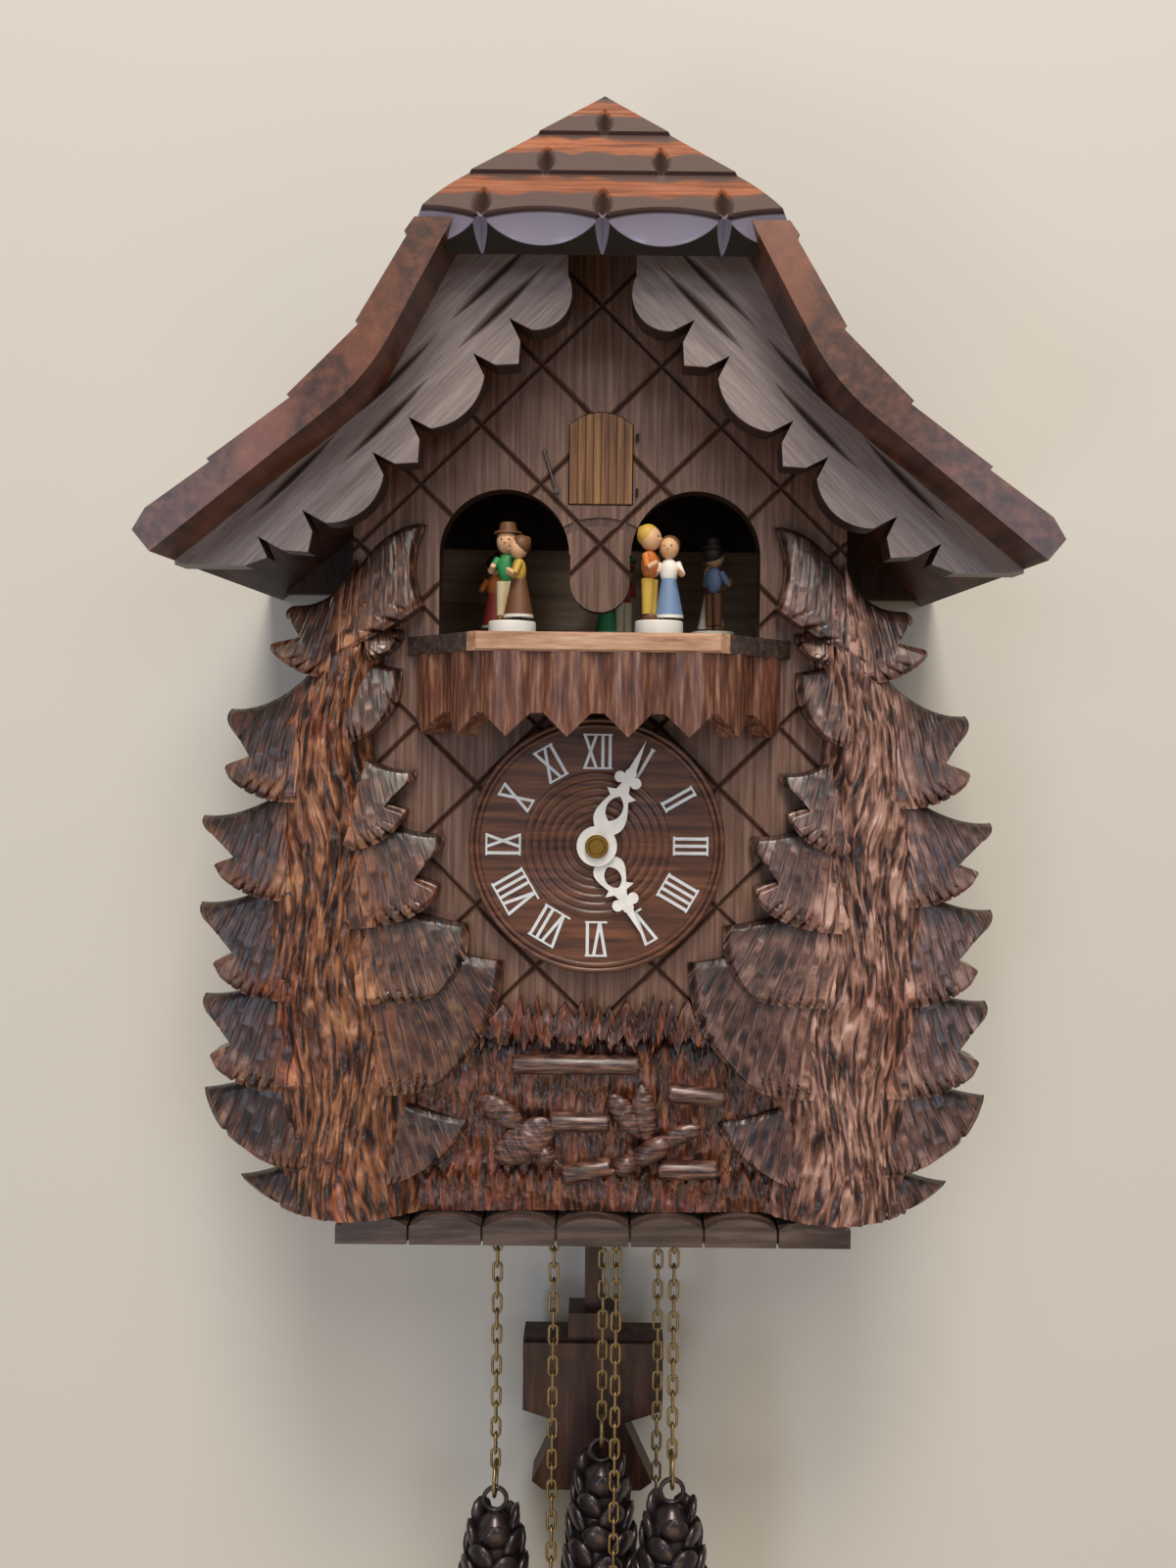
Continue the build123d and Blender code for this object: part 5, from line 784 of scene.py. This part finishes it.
def cone_core(bm, x, y, top, height, radius):
    """Smooth body that closes the gaps between the scales."""
    for vert in bmesh.ops.create_uvsphere(bm, u_segments=28, v_segments=28, radius=1.0)["verts"]:
        t = min(1.0, max(0.0, (1 - vert.co.z) / 2))
        side = Vector((vert.co.x, vert.co.y))
        side = side.normalized() if side.length > 1e-6 else Vector((0, 0))
        flat = math.sin(math.acos(max(-1, min(1, vert.co.z))))
        r = cone_girth(t, radius) * CORE_SHARE * min(1.0, flat * 2.2)
        vert.co = (x + side.x * r, y + side.y * r, top - t * height)


def cone_scales(bm, x, y, top, height, radius, count):
    """Scales in a spiral, smaller towards both ends."""
    for k in range(count):
        t = 0.02 + 0.96 * (k + 0.5) / count
        turn = k * GOLDEN_ANGLE
        r = cone_girth(t, radius) * CORE_SHARE
        size = (0.45 + 0.55 * r / radius) * MM
        spot = Matrix.Translation((x + r * math.cos(turn), y + r * math.sin(turn), top - t * height))
        spot = spot @ Matrix.Rotation(turn, 4, "Z") @ Matrix.Rotation(math.radians(15), 4, "Y")
        spot = spot @ Matrix.Diagonal((2.6 * size, 7.0 * size, 7.8 * size, 1))
        bmesh.ops.create_icosphere(bm, subdivisions=2, radius=1.0, matrix=spot)


class CLOCK_OT_cast_weights(bpy.types.Operator):
    """Model the cone weights with their scales and loops"""
    bl_idname = "clock.cast_weights"
    bl_label = "Cast the weights"

    def execute(self, context):
        scene = context.scene
        # Cast iron: blackened, with a brown sheen where it is worn
        material = plain("cone_blackened_iron", (*scene.clock_finish.cones, 1.0), 0.36, metallic=0.8,
                         coat=0.2, uneven=0.8, count=160.0)
        for name in ("going", "strike", "music"):
            low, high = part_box(f"{name}_weight")
            x = (low.x + high.x) / 2
            y = (low.y + high.y) / 2
            radius = (high.x - low.x) / 2
            loop_z = high.z - (LOOP_RADIUS + LOOP_WIRE) * MM
            top = loop_z - LOOP_RADIUS * MM
            bm = bmesh.new()
            cone_loop(bm, x, y, loop_z)
            cone_core(bm, x, y, top, top - low.z, radius)
            cone_scales(bm, x, y, top, top - low.z, radius, scene.clock_figures.scales)
            # The scales' tips stay inside the solid's box
            for vert in bm.verts:
                side = Vector((vert.co.x - x, vert.co.y - y))
                if side.length > radius:
                    side = side.normalized() * radius
                    vert.co.x, vert.co.y = x + side.x, y + side.y
                vert.co.z = max(vert.co.z, low.z)
            finish_mesh(f"cone_{name}", bm, material, f"{name}_load", f"{name}_weight",
                        angle=50)
        return {"FINISHED"}


# Dancers

PLINTH_RING = 40.0      # distance of the plinths from the turntable's axis
PLINTH_HEIGHT = 5.0
FIRST_COUPLE = 226.0    # angle of the first couple, in degrees
# Hand-painted resin, matt, one material for each colour
RESIN = {"white": "#e7e2d6", "skin": "#d9a97c", "green": "#2f8a4b", "cream": "#cdbb92", "brown": "#6b4325",
         "orange": "#c9702f", "yellow": "#c9a23f", "blue": "#6f87a8", "red": "#a33d32", "dark": "#33261e"}
# Clothes of a couple: coat, trousers, hair and hat, then blouse, skirt and hair
SUITS = (("green", "cream", "brown", "brown", "yellow", "brown", "brown"),
         ("orange", "yellow", "yellow", None, "white", "blue", "brown"),
         ("blue", "brown", "dark", "dark", "red", "white", "brown"),
         ("red", "cream", "brown", "green", "white", "green", "yellow"),
         ("white", "blue", "yellow", "brown", "orange", "red", "dark"))


def tint(verts, key):
    """Give the faces of new vertices the resin paint of that name."""
    for face in {face for vert in verts for face in vert.link_faces}:
        face.material_index = list(RESIN).index(key)


def ball(bm, base, middle, size, key):
    """Rounded part of a figure, with its middle and half sizes in millimetres."""
    spot = base @ Matrix.Translation(Vector(middle) * MM) @ Matrix.Diagonal((*[s * MM for s in size], 1))
    made = bmesh.ops.create_uvsphere(bm, u_segments=18, v_segments=12, radius=1.0, matrix=spot)["verts"]
    tint(made, key)


def limb(bm, base, start, end, radius1, radius2, key):
    """Tapered part of a figure from start to end, in millimetres."""
    start, end = Vector(start) * MM, Vector(end) * MM
    run = end - start
    spot = base @ Matrix.Translation((start + end) / 2) @ run.to_track_quat("Z", "Y").to_matrix().to_4x4()
    made = bmesh.ops.create_cone(bm, cap_ends=True, segments=14, radius1=radius1 * MM, radius2=radius2 * MM,
                                 depth=run.length, matrix=spot)["verts"]
    tint(made, key)


def dancer(bm, base, top, legs, hair, hat, skirt):
    """Figure up to 32 mm tall that faces along its own -Y."""
    if skirt:
        limb(bm, base, (0, 0, 2), (0, 0, 15), 5.2, 2.6, legs)
        limb(bm, base, (0, 0, 1.2), (0, 0, 2.2), 5.3, 5.3, "white")
    for sign in (-1, 1):
        if skirt:
            limb(bm, base, (sign * 1.3, 0, 0), (sign * 1.3, 0, 3), 1.2, 1.0, "dark")
        else:
            limb(bm, base, (sign * 1.7, 0, 2), (sign * 1.4, 0, 13), 1.6, 2.1, legs)
            ball(bm, base, (sign * 1.7, -0.8, 1.1), (1.5, 2.4, 1.2), "brown")
        limb(bm, base, (sign * 3.0, 0, 20.3), (sign * 5.0, -1.6, 16.2), 1.3, 1.1, top)
        limb(bm, base, (sign * 5.0, -1.6, 16.2), (sign * 3.6, -4.2, 17.8), 1.0, 0.8, "skin")
        ball(bm, base, (sign * 1.2, -3.25, 26.2), (0.32, 0.25, 0.4), "dark")
    ball(bm, base, (0, 0, 17.5), (3.3, 2.6, 4.8), top)
    ball(bm, base, (0, -0.2, 25.8), (3.5, 3.4, 3.9), "skin")
    ball(bm, base, (0, 0.7, 26.8), (3.8, 3.5, 3.6), hair)
    ball(bm, base, (0, -3.6, 25.4), (0.5, 0.5, 0.5), "skin")
    if hat:
        limb(bm, base, (0, 0.4, 28.4), (0, 0.4, 29.0), 4.6, 4.5, hat)
        limb(bm, base, (0, 0.4, 29.0), (0, 0.4, 32.0), 3.1, 2.4, hat)
    else:
        ball(bm, base, (0, 2.6, 28.4), (1.6, 1.6, 1.6), hair)


def plinth(bm, spot):
    """Round white plinth with a softened rim."""
    made = bmesh.ops.create_cone(bm, cap_ends=True, segments=40, radius1=7.7 * MM, radius2=7.5 * MM,
                                 depth=PLINTH_HEIGHT * MM,
                                 matrix=spot @ Matrix.Translation((0, 0, PLINTH_HEIGHT / 2 * MM)))["verts"]
    tint(made, "white")
    rim = bmesh.ops.bevel(bm, geom=sharp_edges(made), offset=0.5 * MM, segments=3, profile=0.5,
                          affect="EDGES", material=-1)
    tint(rim["verts"], "white")


class CLOCK_OT_model_dancers(bpy.types.Operator):
    """Model plain folk dancers in couples on round white plinths"""
    bl_idname = "clock.model_dancers"
    bl_label = "Model the dancers"

    def execute(self, context):
        couples = context.scene.clock_figures.couples
        bm = bmesh.new()
        for k in range(couples):
            angle = math.radians(FIRST_COUPLE + 360 * k / couples)
            spot = Matrix.Translation(at(PLINTH_RING * math.cos(angle),
                                         TURN_DEPTH - PLINTH_RING * math.sin(angle), SILL_TOP))
            plinth(bm, spot)
            stand = (spot @ Matrix.Translation((0, 0, PLINTH_HEIGHT * MM))
                     @ Matrix.Rotation(angle + math.pi / 2, 4, "Z"))
            coat, trousers, hair, hat, blouse, skirt, plait = SUITS[k]
            first = stand @ Matrix.Translation((-3.2 * MM, 0.5 * MM, 0))
            first = first @ Matrix.Rotation(math.radians(35), 4, "Z")
            dancer(bm, first, coat, trousers, hair, hat, skirt=False)
            second = stand @ Matrix.Translation((3.3 * MM, -0.3 * MM, 0))
            second = second @ Matrix.Rotation(math.radians(-40), 4, "Z") @ Matrix.Scale(0.9, 4)
            dancer(bm, second, blouse, skirt, plait, None, skirt=True)
        paints = [plain(f"resin_paint_{key}", code, 0.55, uneven=0.2) for key, code in RESIN.items()]
        piece = finish_mesh("folk_dancers", bm, paints[0], "turntable", "dancers", angle=55)
        for resin in paints[1:]:
            piece.data.materials.append(resin)
        return {"FINISHED"}


# Small fittings

def beads(bm, spots, radius):
    """Small balls at the given points, with their radius in millimetres."""
    for spot in spots:
        bmesh.ops.create_uvsphere(bm, u_segments=12, v_segments=8, radius=radius * MM,
                                  matrix=Matrix.Translation(spot))


class CLOCK_OT_add_fittings(bpy.types.Operator):
    """Add the dial's nails and the cuckoo's eyes"""
    bl_idname = "clock.add_fittings"
    bl_label = "Add the fittings"

    def execute(self, context):
        # Nails: bright steel heads just inside the dial's rim
        nail_ring = 38.0
        turns = [math.radians(angle) for angle in (15, 150, 272)]
        bm = bmesh.new()
        beads(bm, [at(nail_ring * math.cos(turn), PANEL_FACE + 4.6, DIAL_Z + nail_ring * math.sin(turn))
                   for turn in turns], 0.6)
        steel = plain("nail_steel", "#a8a39a", 0.3, metallic=1.0)
        finish_mesh("dial_nails", bm, steel, "case")
        # Eyes: glossy black paint, placed from the front and the top of the bird
        low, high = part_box("cuckoo_bird")
        bm = bmesh.new()
        side, back, drop = 2.6 * MM, 8.4 * MM, 2.6 * MM
        beads(bm, [Vector((sign * side, low.y + back, high.z - drop)) for sign in (-1, 1)], 0.7)
        gloss = plain("bird_eye_paint", "#17120e", 0.25)
        finish_mesh("cuckoo_eyes", bm, gloss, "cuckoo")
        return {"FINISHED"}


# Stage

WALL_GAP = 0.5          # distance of the wall from the clock's back
WALL_SPREAD = 40        # outer edge of the wall, as a multiple of the opening behind the case
WALL_LIFT = 4000.0      # how far the outer edge is moved up
# Right half of the opening behind the case, from its foot to its peak, a little inside the back board
WALL_OPENING = ((76, -274), (76, -38), (58, -14), (39, 23), (31, 36), (0, 67))
# Lamps: place and aim in metres, side in metres, watts and tint
LAMPS = (("ceiling_lamp", (0.05, -1.3, 1.9), (0, -0.05, -0.12), 0.7, 41.0, "#fff8ee"),
         ("front_lamp", (0.25, -1.6, 1.1), (0, -0.05, -0.15), 0.7, 11.0, "#fff8ee"),
         ("window_lamp_left", (-0.75, -1.6, 0.15), (0, -0.05, -0.15), 0.5, 3.4, "#dce7ff"),
         ("window_lamp_right", (0.75, -1.6, 0.15), (0, -0.05, -0.15), 0.5, 3.4, "#dce7ff"),
         ("back_lamp", (0.5, 1.4, 0.5), (0, 0, -0.12), 0.6, 14.0, "#fff8ee"),
         ("floor_glow", (-0.6, -1.3, -0.8), (0, -0.1, -0.1), 0.25, 2.6, "#d3e2ff"),
         ("floor_bounce", (0.1, -0.8, -0.95), (0, 0, -0.42), 0.6, 1.6, "#ffdcae"))
PICTURE_ROWS = 1600             # height of the picture in pixels
VIEW_SHIFT = (-20, -65)         # pixels from the point in front of the eye to the picture's middle


def put_up_wall(scene, colour):
    """Wall that shows only from the front and is open behind the case, so that the back is lit."""
    # Wall: pale cream paint, matt
    material, tree, shader = new_material("wall_pale_paint")
    set_inputs(tree, shader, {"Base Color": (*colour, 1.0), "Roughness": 0.8})
    behind = add_node(tree, "NewGeometry", "Backfacing")
    clear = add_node(tree, "BsdfTransparent", "BSDF")
    both = add_node(tree, "MixShader", "Shader", {0: behind, 1: shader.outputs["BSDF"], 2: clear})
    set_inputs(tree, tree.nodes["Material Output"], {"Surface": both})
    bm = bmesh.new()
    outline = [*WALL_OPENING, *[(-x, z) for x, z in reversed(WALL_OPENING[:-1])]]
    rim = [bm.verts.new(at(x, -WALL_GAP, z)) for x, z in outline]
    edges = [bm.edges.new((rim[k - 1], rim[k])) for k in range(len(rim))]
    for vert in bmesh.ops.extrude_edge_only(bm, edges=edges)["geom"]:
        if isinstance(vert, bmesh.types.BMVert):
            vert.co.x *= WALL_SPREAD
            vert.co.z = vert.co.z * WALL_SPREAD + WALL_LIFT * MM
    for face in bm.faces:
        face.normal_update()
        if face.normal.y > 0:
            face.normal_flip()
    mesh = bpy.data.meshes.new("wall")
    bm.to_mesh(mesh)
    bm.free()
    mesh.materials.append(material)
    wall = bpy.data.objects.new("wall", mesh)
    scene.collection.objects.link(wall)


def hang_lamps(scene):
    """Area lamps and a dim world."""
    world = bpy.data.worlds.new("studio_air")
    world.use_nodes = True
    set_inputs(world.node_tree, world.node_tree.nodes["Background"], {"Color": "#f0e9de", "Strength": 0.25})
    scene.world = world
    for name, spot, aim, size, power, colour in LAMPS:
        lamp = bpy.data.lights.new(name, "AREA")
        lamp.energy = power
        lamp.size = size
        lamp.color = linear(colour)[:3]
        holder = bpy.data.objects.new(name, lamp)
        holder.location = spot
        holder.rotation_euler = (Vector(aim) - Vector(spot)).to_track_quat("-Z", "Y").to_euler()
        scene.collection.objects.link(holder)


def set_camera(scene, settings):
    """Camera at the place from which the picture was taken."""
    camera = bpy.data.cameras.new("photo_view")
    camera.sensor_width = 36.0
    camera.lens = 27.0
    camera.shift_x, camera.shift_y = [shift / PICTURE_ROWS for shift in VIEW_SHIFT]
    camera.clip_start = 0.02
    eye = bpy.data.objects.new("photo_view", camera)
    eye.matrix_world = (Matrix.Translation((settings.eye_side, -settings.eye_distance, settings.eye_height))
                        @ Matrix.Rotation(math.pi / 2, 4, "X") @ Matrix.Rotation(settings.roll, 4, "Z"))
    scene.collection.objects.link(eye)
    scene.camera = eye


class CLOCK_OT_set_stage(bpy.types.Operator):
    """Put up the pale wall, the lamps, the world and the camera"""
    bl_idname = "clock.set_stage"
    bl_label = "Set the stage"

    def execute(self, context):
        scene = context.scene
        put_up_wall(scene, scene.clock_stage.wall)
        hang_lamps(scene)
        set_camera(scene, scene.clock_stage)
        scene.view_settings.view_transform = "Standard"
        return {"FINISHED"}


# Sidebar and running

class CLOCK_PT_panel(bpy.types.Panel):
    """Sidebar panel with the clock's settings and steps"""
    bl_idname = "CLOCK_PT_panel"
    bl_label = "Cuckoo clock"
    bl_space_type = "VIEW_3D"
    bl_region_type = "UI"
    bl_category = "Clock"

    def draw(self, context):
        scene = context.scene
        for group in (scene.clock_finish, scene.clock_carving, scene.clock_figures, scene.clock_stage):
            for key in group.__annotations__:
                self.layout.prop(group, key)
        for step in STEPS:
            self.layout.operator(step.bl_idname)


STEPS = (CLOCK_OT_finish_wood, CLOCK_OT_finish_fittings, CLOCK_OT_carve_firs, CLOCK_OT_carve_meadow,
         CLOCK_OT_cast_weights, CLOCK_OT_model_dancers, CLOCK_OT_add_fittings, CLOCK_OT_set_stage)
CLASSES = (FinishSettings, CarvingSettings, FigureSettings, StageSettings, *STEPS, CLOCK_PT_panel)


def register():
    for cls in CLASSES:
        bpy.utils.register_class(cls)
    bpy.types.Scene.clock_finish = bpy.props.PointerProperty(type=FinishSettings)
    bpy.types.Scene.clock_carving = bpy.props.PointerProperty(type=CarvingSettings)
    bpy.types.Scene.clock_figures = bpy.props.PointerProperty(type=FigureSettings)
    bpy.types.Scene.clock_stage = bpy.props.PointerProperty(type=StageSettings)


def unregister():
    del bpy.types.Scene.clock_stage
    del bpy.types.Scene.clock_figures
    del bpy.types.Scene.clock_carving
    del bpy.types.Scene.clock_finish
    for cls in reversed(CLASSES):
        bpy.utils.unregister_class(cls)


def main():
    register()
    bpy.ops.clock.finish_wood()
    bpy.ops.clock.finish_fittings()
    bpy.ops.clock.carve_firs()
    bpy.ops.clock.carve_meadow()
    bpy.ops.clock.cast_weights()
    bpy.ops.clock.model_dancers()
    bpy.ops.clock.add_fittings()
    bpy.ops.clock.set_stage()


if __name__ == "__main__":
    main()
